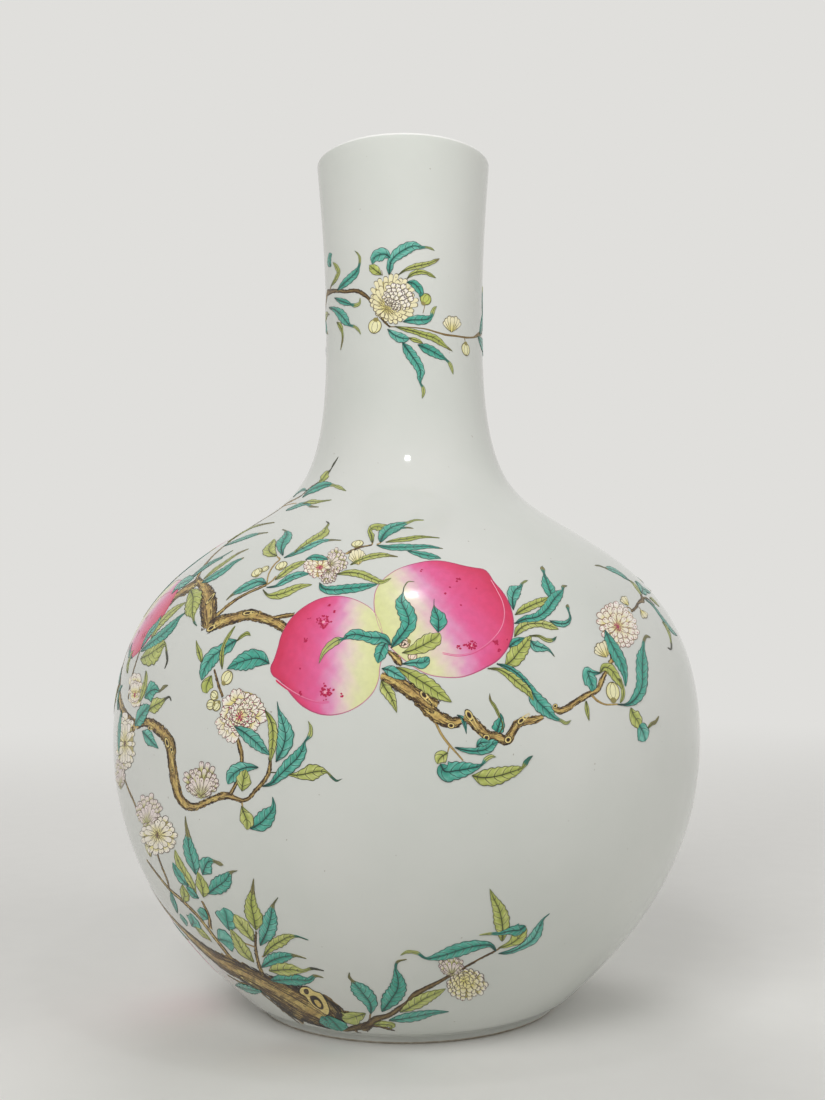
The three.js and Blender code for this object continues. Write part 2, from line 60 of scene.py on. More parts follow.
# Outline of the body from heel to lip, as shares of its height: radius, height above the table,
# slope in degrees, and how far the curve keeps that slope above and below, as a share of its climb
HEEL = (0.1928, 0.0154, 41.7, 0.424, 0)
BELLY = (0.3422, 0.3117, 90, 0.62, 0.408)
SHOULDER = (0.1935, 0.5485, 147.3, 0.312, 0.325)
WAIST = (0.0965, 0.7765, 90, 0.475, 0.769)
LIP = (0.1072, 1, 85.6, 0, 0.281)
OUTLINE = (HEEL, BELLY, SHOULDER, WAIST, LIP)
OUTLINE_STEPS = 160

# Wall thickness at the same places, and the glazed recess under the foot
WALLS = (9, 6.5, 6, 5, 4)
FOOT_RADIUS = 94
FOOT_RING_WIDTH = 11
FOOT_RING_HEIGHT = 4
FOOT_CHAMFER = 1.5
RECESS_DEPTH = 6
BASE_THICKNESS = 9
FLOOR_COVE = 14
JOINT_HEIGHTS = (34, 170, 303)
SLIP_THICKNESS = 2
SLIP_BEAD = 1.2

# The painted surface lies just inside the measured outline, so that the enamel stays within it
GLAZE_INSET = 0.5

# The photograph: its size and focal length in pixels, and where it was taken from
PHOTO_SIZE = (825, 1100)
WHOLE_PHOTO = (0, 0, 1)
FOCAL_PX = 1200.0
CAMERA_PLACE = (0.0, -781.8, 225.9)
CAMERA_PITCH = 4.22
CAMERA_YAW = 0.325
CAMERA_ROLL = -0.42
SENSOR_MM = 36.0

ROOT = "root"
HALF_TURN = math.pi
FULL_TURN = 2 * math.pi
TINY = 1e-6


def linear(red, green, blue):
    """An sRGB colour of 0 to 255 as linear light."""
    return tuple(
        value / 12.92 if value <= 0.04045 else ((value + 0.055) / 1.055) ** 2.4
        for value in (red / 255, green / 255, blue / 255))


def unit(vectors):
    """Vectors at length 1. One too short to have a direction stays short."""
    return vectors / np.maximum(np.linalg.norm(vectors, axis=-1), TINY)[..., None]


def camera_axes():
    """The directions to the camera's right, up and ahead."""
    pitch, yaw, roll = (math.radians(angle) for angle in (CAMERA_PITCH, CAMERA_YAW, CAMERA_ROLL))
    forward = np.array((math.sin(yaw) * math.cos(pitch), math.cos(yaw) * math.cos(pitch), math.sin(pitch)))
    level = np.array((math.cos(yaw), -math.sin(yaw), 0.0))
    upright = np.cross(level, forward)
    right = level * math.cos(roll) + upright * math.sin(roll)
    up = upright * math.cos(roll) - level * math.sin(roll)
    return right, up, forward


RIGHT, UP, FORWARD = camera_axes()
CAMERA = np.array(CAMERA_PLACE)


# The body's outline as a table of points with their arc length and outward direction

def bezier(from_place, to_place):
    """The curve from one place of the outline to the next."""
    start, finish = (np.array(place[:2]) * VASE_HEIGHT for place in (from_place, to_place))
    climb = finish[1] - start[1]

    def run(place):
        return np.array((math.cos(math.radians(place[2])), math.sin(math.radians(place[2]))))

    leave = start + run(from_place) * climb * from_place[3]
    arrive = finish - run(to_place) * climb * to_place[4]
    t = np.linspace(0, 1, OUTLINE_STEPS)[:, None]
    rest = 1 - t
    return start * rest ** 3 + 3 * leave * t * rest ** 2 + 3 * arrive * t ** 2 * rest + finish * t ** 3


def outline_table():
    spans = [bezier(a, b) for a, b in zip(OUTLINE, OUTLINE[1:])]
    points = np.vstack([spans[0]] + [span[1:] for span in spans[1:]])
    steps = np.hypot(*np.diff(points, axis=0).T)
    arc = np.concatenate(((0,), np.cumsum(steps)))
    run = unit(np.gradient(points, arc, axis=0))
    outward = np.column_stack((run[:, 1], -run[:, 0]))
    return points, arc, outward


POINTS, ARC, OUTWARD = outline_table()
WALL_RUN = ARC[-1]


def radius_at(arc):
    return np.interp(arc, ARC, POINTS[:, 0])


def arc_at_height(height):
    return np.interp(height, POINTS[:, 1], ARC)


def outward_at(arc):
    """The direction off the glaze, as its parts away from the axis and up."""
    return np.interp(arc, ARC, OUTWARD[:, 0]), np.interp(arc, ARC, OUTWARD[:, 1])


def skin(arc, lift):
    """Radius and height at an arc length up the glaze, at a lift off it."""
    out_r, out_z = outward_at(arc)
    reach = lift - GLAZE_INSET
    return radius_at(arc) + out_r * reach, np.interp(arc, ARC, POINTS[:, 1]) + out_z * reach


def on_vase(turn, arc, lift):
    """Points on the vase in millimetres: a turn to the right from the front, an arc length and a lift."""
    radius, height = skin(arc, lift)
    return np.stack((radius * np.sin(turn), -radius * np.cos(turn), height), axis=-1)


# Where a pixel of the photograph lies on the vase

SIGHT_NEAR = 480
SIGHT_FAR = 1000
SIGHT_STEPS = 420
SIGHT_HALVINGS = 24


def clearance(point):
    """How far a point lies outside the glaze, level with it."""
    radius = np.interp(point[..., 2], POINTS[:, 1], POINTS[:, 0])
    return np.hypot(point[..., 0], point[..., 1]) - radius + GLAZE_INSET


def picked(x, y):
    """Turn and arc length under the photograph's pixels. One past the edge gives the edge's place."""
    x, y = np.asarray(x, float), np.asarray(y, float)
    across = (x - PHOTO_SIZE[0] / 2) / FOCAL_PX
    down = (y - PHOTO_SIZE[1] / 2) / FOCAL_PX
    sight = FORWARD + across[..., None] * RIGHT - down[..., None] * UP
    reach = np.linspace(SIGHT_NEAR, SIGHT_FAR, SIGHT_STEPS)
    along = CAMERA + sight[..., None, :] * reach[:, None]
    gap = clearance(along)
    inside = gap < 0
    hit = inside.any(axis=-1)
    first = np.where(hit, inside.argmax(axis=-1), gap.argmin(axis=-1))
    far = reach[first]
    near = reach[np.maximum(first - 1, 0)]
    for _ in range(SIGHT_HALVINGS):
        middle = (near + far) / 2
        outside = clearance(CAMERA + sight * middle[..., None]) > 0
        near = np.where(hit & outside, middle, near)
        far = np.where(hit & ~outside, middle, far)
    place = CAMERA + sight * far[..., None]
    return np.arctan2(place[..., 0], -place[..., 1]), arc_at_height(place[..., 2])


def photo_place(crop, x, y):
    """The photograph's pixels under places in a zoomed crop of it."""
    left, top, zoom = crop
    return left + np.asarray(x, float) / zoom, top + np.asarray(y, float) / zoom


def depth_at(turn, arc):
    """How far ahead of the camera a place on the glaze lies."""
    return (on_vase(turn, arc, 0) - CAMERA) @ FORWARD


# The photographed painting, read in zoomed crops of the photograph.
# Each spray: the crop that its points are read in (left, top and zoom), its boughs, leaves, buds and
# blossoms. A stroke's points are (x, y, width) from its stalk. A leaf starts with its colour and, where its
# tip curls, the tip's colour and how many of its last points belong to it. A bud is its place, radius, kind
# and the way it faces in degrees. A blossom is its place, half width, half height, tilt and kind.
# A dark spray has its bark darkened all over, as painted shade. The numbers under "raised" count the boughs
# that lie over a peach, and those under "under" and "over" the leaves that lie behind or before all others.
# Knots are in the photograph's own pixels: middle, half length, half width, tilt and tail.

NECK_SPRAY = {
    "crop": (310, 230, 8.25),
    "dark": True,
    "boughs": [
        [(140, 522, 34), (215, 502, 30), (300, 507, 32), (385, 502, 34), (440, 528, 34), (490, 572, 26),
         (530, 632, 20), (572, 702, 18), (620, 765, 16), (662, 802, 14)],
        [(650, 798, 10), (760, 800, 9), (870, 806, 10), (960, 818, 12), (1040, 842, 14), (1110, 862, 18),
         (1200, 874, 16), (1280, 886, 16), (1352, 884, 18), (1385, 866, 24), (1410, 852, 20)],
        [(165, 505, 12), (172, 470, 10), (215, 425, 8)],
        [(600, 380, 6), (590, 330, 5)],
        [(930, 690, 6), (944, 640, 6), (950, 612, 5)],
        [(566, 700, 6), (548, 745, 5)],
        [(1276, 890, 7), (1278, 915, 7)],
    ],
    "leaves": [
        ("green", [(176, 300, 6), (160, 262, 40), (164, 225, 38), (182, 198, 4)]),
        ("lime", [(176, 462, 6), (214, 402, 24), (236, 352, 28), (216, 300, 24), (190, 268, 4)]),
        ("green", "lime", 3, [(205, 560, 6), (250, 583, 44), (300, 600, 50), (342, 615, 22), (375, 622, 34),
            (408, 606, 22), (415, 560, 4)]),
        ("green", "lime", 3, [(160, 640, 8), (210, 660, 40), (262, 705, 74), (300, 752, 64), (330, 785, 22),
            (370, 798, 24), (404, 830, 18), (420, 862, 4)]),
        ("lime", "olive", 3, [(222, 760, 8), (254, 800, 32), (268, 850, 16), (270, 900, 14), (262, 950, 10),
            (253, 992, 3)]),
        ("green", "lime", 4, [(226, 500, 6), (272, 452, 46), (336, 396, 64), (384, 346, 52), (402, 308, 22),
            (412, 262, 20), (410, 225, 20), (394, 195, 14), (370, 172, 4)]),
        ("green", "lime", 3, [(652, 372, 8), (658, 318, 54), (668, 262, 62), (716, 206, 96),
            (784, 160, 104), (862, 132, 76), (922, 144, 28), (962, 143, 17), (1000, 154, 17),
            (1026, 170, 4)]),
        ("green", [(662, 232, 14), (628, 204, 84), (574, 206, 112), (532, 232, 76), (514, 282, 8)]),
        ("lime", [(592, 372, 8), (552, 342, 70), (514, 312, 72), (490, 290, 10)]),
        ("lime", "olive", 2, [(728, 372, 6), (780, 334, 22), (860, 304, 50), (938, 288, 48),
            (1000, 270, 34), (1042, 250, 28), (1068, 237, 4)]),
        ("lime", [(800, 402, 6), (842, 364, 36), (900, 346, 46), (958, 354, 30), (1000, 374, 26),
            (1038, 396, 4)]),
        ("green", [(798, 432, 10), (850, 440, 60), (892, 478, 70), (914, 528, 44), (902, 554, 6)]),
        ("green", "lime", 3, [(768, 758, 10), (830, 744, 60), (908, 742, 84), (966, 736, 66),
            (1000, 712, 32), (1010, 680, 34), (1026, 646, 26), (1046, 630, 4)]),
        ("lime", "olive", 2, [(700, 796, 6), (790, 820, 40), (860, 838, 42), (932, 862, 52),
            (1020, 890, 60), (1080, 930, 48), (1112, 956, 26), (1140, 976, 18), (1174, 1000, 3)]),
        ("green", [(640, 818, 8), (690, 862, 66), (742, 888, 84), (798, 896, 50), (822, 892, 6)]),
        ("lime", [(812, 890, 8), (860, 906, 38), (902, 920, 30), (932, 936, 4)]),
        ("green", "lime", 3, [(762, 928, 10), (806, 990, 84), (848, 1050, 92), (888, 1110, 84),
            (912, 1168, 72), (906, 1228, 42), (912, 1266, 16), (932, 1302, 30), (936, 1342, 30),
            (924, 1390, 5)]),
        ("green", "lime", 3, [(888, 946, 8), (946, 972, 72), (1020, 1008, 80), (1080, 1044, 52),
            (1122, 1070, 16), (1150, 1100, 26), (1168, 1142, 26), (1180, 1192, 4)]),
        ("green", [(1384, 880, 8), (1410, 930, 40), (1432, 980, 44), (1446, 1040, 8)]),
        ("green", [(1398, 860, 8), (1412, 800, 34), (1420, 740, 34), (1424, 690, 6)]),
    ],
    "buds": [(955, 570, 46, "lime", 60), (535, 795, 56, "round", -100), (1170, 775, 66, "open", 86),
        (1284, 985, 50, "round", -90)],
    "blossoms": [(690, 570, 202, 204, 0, "skirt"), (728, 544, 124, 118, 0, "cap")],
}

LEFT_PEACH_SPRAY = {
    "crop": (200, 540, 7.84),
    "over": (16,),
    "boughs": [
        [(-30, 300, 60), (28, 360, 84), (56, 430, 100), (66, 520, 112), (70, 610, 104), (62, 686, 84)],
        [(50, 700, 60), (150, 640, 86), (260, 612, 76), (380, 582, 84), (470, 602, 84), (560, 630, 80),
         (640, 672, 84), (700, 720, 50)],
        [(560, 612, 34), (640, 596, 34), (740, 580, 30)],
        [(130, 590, 26), (220, 510, 24), (300, 452, 20), (400, 400, 18), (470, 370, 18), (524, 344, 16)],
        [(520, 348, 12), (566, 316, 12), (600, 276, 10)],
        [(524, 345, 9), (545, 250, 9), (590, 182, 10), (625, 148, 12), (604, 122, 8)],
        [(110, 1010, 14), (130, 1080, 18), (150, 1150, 20), (180, 1230, 20)],
    ],
    "leaves": [
        ("green", [(-60, 280, 8), (24, 218, 36), (104, 168, 36), (182, 134, 4)]),
        ("lime", "olive", 2, [(30, 305, 6), (110, 235, 30), (200, 170, 26), (300, 102, 14), (384, 64, 3)]),
        ("green", "olive", 1, [(16, 332, 8), (100, 288, 50), (190, 234, 50), (270, 172, 28),
            (348, 134, 4)]),
        ("green", "olive", 2, [(524, 338, 8), (462, 326, 58), (400, 346, 62), (322, 386, 48),
            (252, 428, 14), (208, 470, 3)]),
        ("lime", [(590, 310, 8), (650, 265, 42), (712, 216, 48), (772, 186, 42), (838, 160, 6)]),
        ("green", [(524, 370, 6), (600, 356, 20), (662, 320, 48), (730, 282, 52), (790, 266, 46),
            (856, 262, 6)]),
        ("lime", [(496, 388, 8), (538, 430, 28), (600, 430, 60), (680, 406, 66), (760, 370, 50),
            (880, 346, 6)]),
        ("lime", "lime", 1, [(606, 122, 8), (556, 98, 84), (546, 56, 62), (572, 16, 26), (584, -10, 8)]),
        ("green", "olive", 2, [(652, 118, 8), (640, 60, 48), (660, 0, 66), (684, -44, 50), (672, -76, 14),
            (648, -88, 5)]),
        ("green", "olive", 2, [(660, 136, 6), (740, 102, 30), (820, 60, 50), (896, 24, 48), (960, 4, 28),
            (1030, -4, 12), (1110, -2, 3)]),
        ("green", [(828, 152, 6), (880, 134, 40), (942, 138, 44), (1008, 152, 8)]),
        ("lime", "olive", 2, [(1180, 192, 8), (1260, 152, 30), (1342, 126, 44), (1430, 114, 36),
            (1500, 120, 14), (1552, 128, 3)]),
        ("lime", "lime", 1, [(1074, 266, 6), (1160, 252, 46), (1262, 264, 58), (1350, 300, 50),
            (1424, 326, 34), (1500, 296, 8)]),
        ("green", [(938, 332, 8), (966, 376, 50), (1040, 390, 70), (1140, 380, 72), (1240, 370, 66),
            (1320, 356, 44), (1390, 344, 6)]),
        ("green", [(545, 968, 8), (510, 946, 80), (452, 926, 140), (374, 940, 152), (284, 972, 92),
            (236, 996, 30), (212, 1012, 4)]),
        ("green", [(292, 782, 8), (244, 812, 84), (172, 862, 84), (94, 922, 112), (48, 992, 94),
            (24, 1056, 54), (14, 1100, 5)]),
        ("lime", [(176, 1012, 5), (172, 930, 34), (184, 840, 28), (226, 750, 24), (278, 672, 5)]),
        ("lime", [(288, 792, 6), (330, 752, 24), (372, 730, 30), (398, 748, 6)]),
        ("lime", [(92, 1060, 8), (64, 1120, 88), (52, 1170, 74), (56, 1200, 8)]),
        ("green", "lime", 4, [(1500, 826, 10), (1440, 770, 76), (1370, 766, 110), (1290, 752, 80),
            (1216, 738, 92), (1160, 752, 56), (1128, 772, 22), (1086, 784, 54), (1020, 826, 58),
            (968, 884, 36), (934, 968, 4)]),
        ("green", [(1466, 790, 40), (1426, 860, 104), (1404, 926, 76), (1394, 966, 8)]),
    ],
    "buds": [(450, 250, 48, "round", 120), (512, 222, 34, "round", 60), (640, 196, 48, "round", 110),
        (214, 1076, 54, "round", 60), (1236, 24, 46, "round", 90), (1234, 130, 60, "open", 100),
        (112, 1216, 38, "round", 150), (84, 1290, 40, "round", 190), (130, 1300, 40, "round", 230)],
    "blossoms": [(1086, 150, 92, 74, 62, "fan"), (1012, 290, 66, 56, 176, "fan"),
        (952, 208, 150, 92, 0, "star")],
}

RIGHT_PEACH_SPRAY = {
    "crop": (370, 540, 7.47),
    "raised": (0, 1),
    "boughs": [
        [(130, 826, 16), (176, 862, 50), (210, 900, 56), (236, 934, 30)],
        [(236, 800, 20), (262, 760, 34), (290, 790, 16)],
        [(80, 1006, 50), (170, 1050, 96), (280, 1116, 112), (400, 1190, 116), (500, 1250, 110)],
    ],
    "leaves": [
        ("green", "olive", 1, [(50, 34, 6), (130, 50, 34), (230, 50, 52), (330, 50, 44), (430, 45, 28),
            (544, 60, 3)]),
        ("green", [(280, 78, 8), (370, 100, 42), (440, 116, 50), (500, 126, 24), (530, 134, 4)]),
        ("green", "lime", 3, [(158, 806, 6), (190, 762, 60), (242, 700, 92), (290, 620, 122),
            (268, 530, 130), (234, 456, 92), (246, 396, 14), (258, 344, 9), (290, 308, 8), (332, 310, 3)]),
        ("green", "olive", 2, [(508, 690, 8), (512, 640, 104), (508, 576, 124), (486, 524, 54),
            (478, 490, 10), (478, 438, 3)]),
        ("lime", [(240, 842, 6), (300, 828, 60), (366, 800, 108), (436, 762, 132), (492, 728, 106),
            (522, 692, 12)]),
        ("green", [(240, 924, 6), (330, 916, 60), (396, 914, 92), (442, 872, 30)]),
        ("green", [(88, 958, 6), (150, 974, 82), (212, 1010, 70), (270, 1040, 10)]),
        ("lime", [(196, 948, 8), (280, 990, 72), (360, 1040, 112), (440, 1092, 122), (520, 1150, 92),
            (610, 1210, 10)]),
        ("lime", [(84, 1046, 8), (110, 1100, 82), (150, 1160, 82), (182, 1232, 42), (200, 1290, 5)]),
        ("green", "lime", 3, [(1070, 520, 6), (1062, 440, 70), (1084, 372, 102), (1122, 346, 30),
            (1136, 320, 18), (1160, 304, 14), (1178, 298, 3)]),
        ("lime", [(1082, 556, 6), (1140, 520, 60), (1220, 480, 62), (1290, 452, 60), (1330, 424, 6)]),
        ("green", "olive", 2, [(1078, 622, 6), (1150, 592, 50), (1250, 572, 72), (1326, 508, 92),
            (1372, 442, 92), (1412, 398, 66), (1438, 368, 16), (1440, 345, 26), (1470, 340, 4)]),
        ("green", "olive", 2, [(1362, 452, 20), (1350, 400, 66), (1330, 346, 80), (1310, 290, 42),
            (1298, 244, 12), (1288, 214, 28), (1284, 190, 4)]),
        ("green", "olive", 2, [(1338, 600, 6), (1400, 622, 42), (1462, 620, 46), (1494, 578, 18),
            (1480, 520, 12), (1474, 492, 26), (1478, 478, 4)]),
        ("lime", [(1078, 722, 6), (1110, 670, 62), (1180, 628, 70), (1270, 622, 52), (1350, 642, 50),
            (1408, 664, 6)]),
        ("green", [(1036, 800, 6), (1080, 762, 62), (1120, 742, 40), (1156, 728, 5)]),
        ("lime", [(1004, 940, 8), (1056, 900, 112), (1112, 832, 132), (1160, 770, 92), (1206, 710, 10)]),
        ("green", "olive", 1, [(1196, 748, 6), (1222, 780, 70), (1282, 802, 60), (1330, 816, 22),
            (1378, 870, 4)]),
        ("lime", "green", 2, [(1188, 714, 6), (1260, 716, 20), (1320, 746, 30), (1370, 742, 24),
            (1392, 718, 3)]),
        ("lime", [(878, 958, 5), (960, 966, 30), (1040, 1010, 60), (1110, 1070, 72), (1180, 1130, 52),
            (1220, 1200, 8)]),
    ],
    "buds": [(256, 768, 40, "blush", 200), (318, 868, 34, "blush", 60)],
}

# Peaches in a crop's pixels: outline and cleft, where the blush is strongest and where it has faded,
# and clusters of stippled dots as (x, y, reach, count)
FRONT_PEACHES = [
    {
        "name": "peach_1",
        "crop": (200, 540, 7.84),
        "outline": [(550, 1000), (578, 935), (606, 850), (636, 742), (690, 640), (762, 560), (850, 496),
            (950, 450), (1050, 434), (1150, 441), (1250, 475), (1340, 530), (1402, 612), (1430, 700),
            (1440, 800), (1432, 900), (1412, 1000), (1404, 1086), (1368, 1180), (1300, 1260), (1204, 1326),
            (1100, 1365), (1000, 1376), (900, 1356), (800, 1302), (720, 1222), (662, 1142), (612, 1092),
            (566, 1060)],
        "cleft": [(596, 1086), (650, 1130), (740, 1192), (850, 1246), (950, 1266), (1020, 1264)],
        "blush": [(560, 930), (1470, 970)],
        "dots": [(970, 640, 74, 46), (830, 785, 26, 14), (985, 1192, 78, 50), (1010, 512, 18, 3),
            (860, 612, 26, 3), (785, 1005, 6, 1), (780, 1196, 20, 3), (1114, 1212, 44, 3),
            (1050, 560, 22, 5)],
    },
    {
        "name": "peach_2",
        "crop": (370, 540, 7.47),
        "outline": [(888, 244), (930, 310), (985, 372), (1028, 440), (1060, 520), (1076, 610), (1070, 700),
            (1048, 772), (1008, 842), (948, 906), (870, 952), (780, 996), (680, 1026), (560, 1027),
            (450, 1010), (360, 970), (260, 900), (150, 800), (70, 660), (34, 540), (28, 440), (46, 360),
            (100, 286), (180, 226), (260, 190), (350, 165), (450, 148), (540, 150), (620, 165), (700, 185),
            (780, 200), (850, 212)],
        "cleft": [(900, 292), (950, 380), (986, 452), (1003, 540), (984, 642), (930, 722), (850, 792),
            (750, 842), (650, 856), (536, 838)],
        "blush": [(1071, 415), (84, 788)],
        "dots": [(756, 785, 54, 40), (942, 765, 32, 18), (655, 288, 24, 7), (1025, 742, 7, 2),
            (968, 816, 16, 4), (680, 483, 6, 1), (790, 363, 8, 2), (595, 350, 5, 1), (560, 395, 8, 2),
            (382, 222, 14, 3), (652, 800, 34, 6)],
    },
]

# Sprays of the bough to the right and of the belly's right edge
RIGHT_BOUGH_SPRAY = {
    "crop": (420, 620, 6.03),
    "under": (1, 2, 3),
    "knots": [(469, 715, 5.5, 3.2, -60, 2.2), (451, 725.5, 3.4, 2.6, -10, 0),
        (486.3, 737.5, 3.3, 3.0, 0, 0), (508, 739.7, 3.6, 3.2, 30, 0), (521, 720.6, 4.6, 2.6, 35, 1.6),
        (555, 706, 2.6, 2.0, 20, 0), (424, 695, 5, 3, -50, 1.2)],
    "boughs": [
        [(-30, 440, 80), (10, 490, 84), (60, 548, 84), (130, 594, 78), (190, 620, 72), (250, 606, 50)],
        [(268, 572, 50), (300, 596, 62), (350, 644, 62), (404, 692, 62), (460, 706, 58), (524, 722, 62),
         (556, 676, 50), (596, 620, 52), (640, 612, 50), (700, 598, 44), (745, 582, 26)],
        [(800, 528, 40), (840, 546, 44), (880, 534, 42), (930, 500, 38), (985, 466, 38), (1030, 440, 36),
         (1078, 410, 34), (1094, 370, 30), (1112, 330, 24), (1136, 290, 18), (1152, 262, 16)],
        [(1030, 446, 16), (1070, 486, 14), (1110, 506, 12), (1190, 508, 10), (1216, 512, 9)],
        [(1140, 262, 22), (1158, 232, 22), (1150, 205, 14)],
        [(92, 612, 16), (130, 690, 16), (176, 752, 16), (220, 802, 12), (262, 850, 10)],
        [(180, 752, 10), (166, 800, 8)],
    ],
    "leaves": [
        ("green", "lime", 3, [(462, 262, 5), (530, 286, 32), (600, 336, 40), (660, 406, 44), (700, 478, 84),
            (760, 540, 84), (814, 590, 30), (850, 606, 18), (880, 622, 22), (910, 604, 4)]),
        ("lime", "olive", 2, [(474, 690, 5), (496, 648, 16), (470, 560, 20), (450, 520, 22), (424, 480, 16),
            (420, 440, 3)]),
        ("green", [(462, 676, 84), (478, 630, 74), (488, 590, 34), (486, 560, 6)]),
        ("green", [(222, 572, 8), (252, 590, 28), (270, 630, 24), (280, 688, 4)]),
        ("green", [(210, 768, 8), (270, 784, 30), (340, 790, 44), (400, 776, 66), (440, 744, 60),
            (472, 736, 8)]),
        ("green", [(340, 764, 8), (362, 742, 50), (400, 736, 40), (424, 736, 6)]),
        ("lime", [(168, 800, 8), (138, 818, 84), (112, 846, 60), (104, 868, 8)]),
        ("green", "lime", 3, [(122, 868, 30), (146, 910, 112), (220, 908, 112), (290, 896, 80),
            (346, 884, 36), (372, 872, 16), (400, 838, 30), (430, 822, 24), (458, 826, 4)]),
        ("lime", "green", 3, [(312, 938, 8), (372, 950, 90), (450, 944, 112), (530, 922, 84),
            (590, 902, 50), (618, 890, 18), (636, 862, 30), (654, 838, 22), (680, 818, 4)]),
        ("lime", [(1000, 486, 8), (1006, 540, 26), (1018, 606, 4)]),
        ("green", [(1090, 318, 8), (1050, 318, 30), (1010, 310, 62), (1020, 350, 84), (1036, 392, 64),
            (1034, 432, 10)]),
        ("lime", [(1084, 320, 8), (1110, 284, 50), (1150, 300, 60), (1180, 342, 50), (1216, 400, 24),
            (1226, 440, 6)]),
        ("green", [(1112, 56, 5), (1140, 120, 54), (1180, 196, 76), (1216, 270, 64), (1234, 330, 34),
            (1238, 400, 6)]),
        ("green", "olive", 3, [(1190, 508, 5), (1250, 508, 24), (1300, 470, 56), (1334, 400, 64),
            (1338, 310, 68), (1340, 230, 60), (1344, 166, 18), (1350, 120, 12), (1366, 96, 20),
            (1388, 104, 4)]),
        ("lime", [(1270, 528, 8), (1284, 570, 56), (1312, 612, 66), (1326, 650, 30)]),
        ("green", [(1318, 636, 30), (1338, 668, 78), (1350, 700, 74), (1358, 730, 30)]),
        ("lime", "olive", 4, [(1372, 652, 8), (1396, 626, 18), (1419, 614, 16), (1431, 596, 9),
            (1439, 579, 3)]),
        ("lime", [(1196, 350, 6), (1218, 400, 20), (1222, 460, 20), (1206, 500, 6)]),
    ],
    "buds": [(1162, 430, 54, "round", 84), (1104, 176, 50, "open", 112)],
}

RIGHT_EDGE_SPRAY = {
    "crop": (560, 550, 7.84),
    "dark": True,
    "boughs": [
        [(556, 480, 20), (590, 452, 20), (612, 412, 18), (646, 376, 20), (632, 340, 14), (600, 286, 10),
         (545, 236, 9)],
        [(650, 372, 12), (690, 380, 9), (740, 430, 8)],
        [(614, 440, 7), (634, 466, 6)],
        [(520, 440, 6), (546, 452, 7), (566, 470, 8)],
    ],
    "leaves": [
        ("green", "olive", 3, [(544, 238, 5), (500, 204, 34), (440, 164, 44), (384, 144, 30), (356, 138, 9),
            (310, 120, 9), (270, 116, 4)]),
        ("lime", [(536, 230, 6), (576, 262, 26), (606, 304, 26), (634, 350, 6)]),
        ("green", [(636, 332, 8), (640, 300, 54), (620, 268, 44), (586, 244, 6)]),
        ("green", [(640, 300, 8), (670, 312, 26), (706, 330, 6)]),
        ("green", [(660, 376, 6), (730, 436, 22), (800, 530, 34), (860, 610, 34), (916, 668, 6)]),
        ("lime", [(700, 372, 6), (740, 400, 30), (776, 440, 6)]),
        ("lime", "dark", 3, [(800, 560, 6), (834, 604, 30), (852, 644, 26), (864, 690, 12), (872, 740, 10),
            (870, 774, 12), (842, 764, 4)]),
    ],
    "buds": [(508, 398, 42, "spike", 128), (652, 498, 38, "spike", -52)],
    "blossoms": [(456, 586, 154, 206, -30, "star")],
}

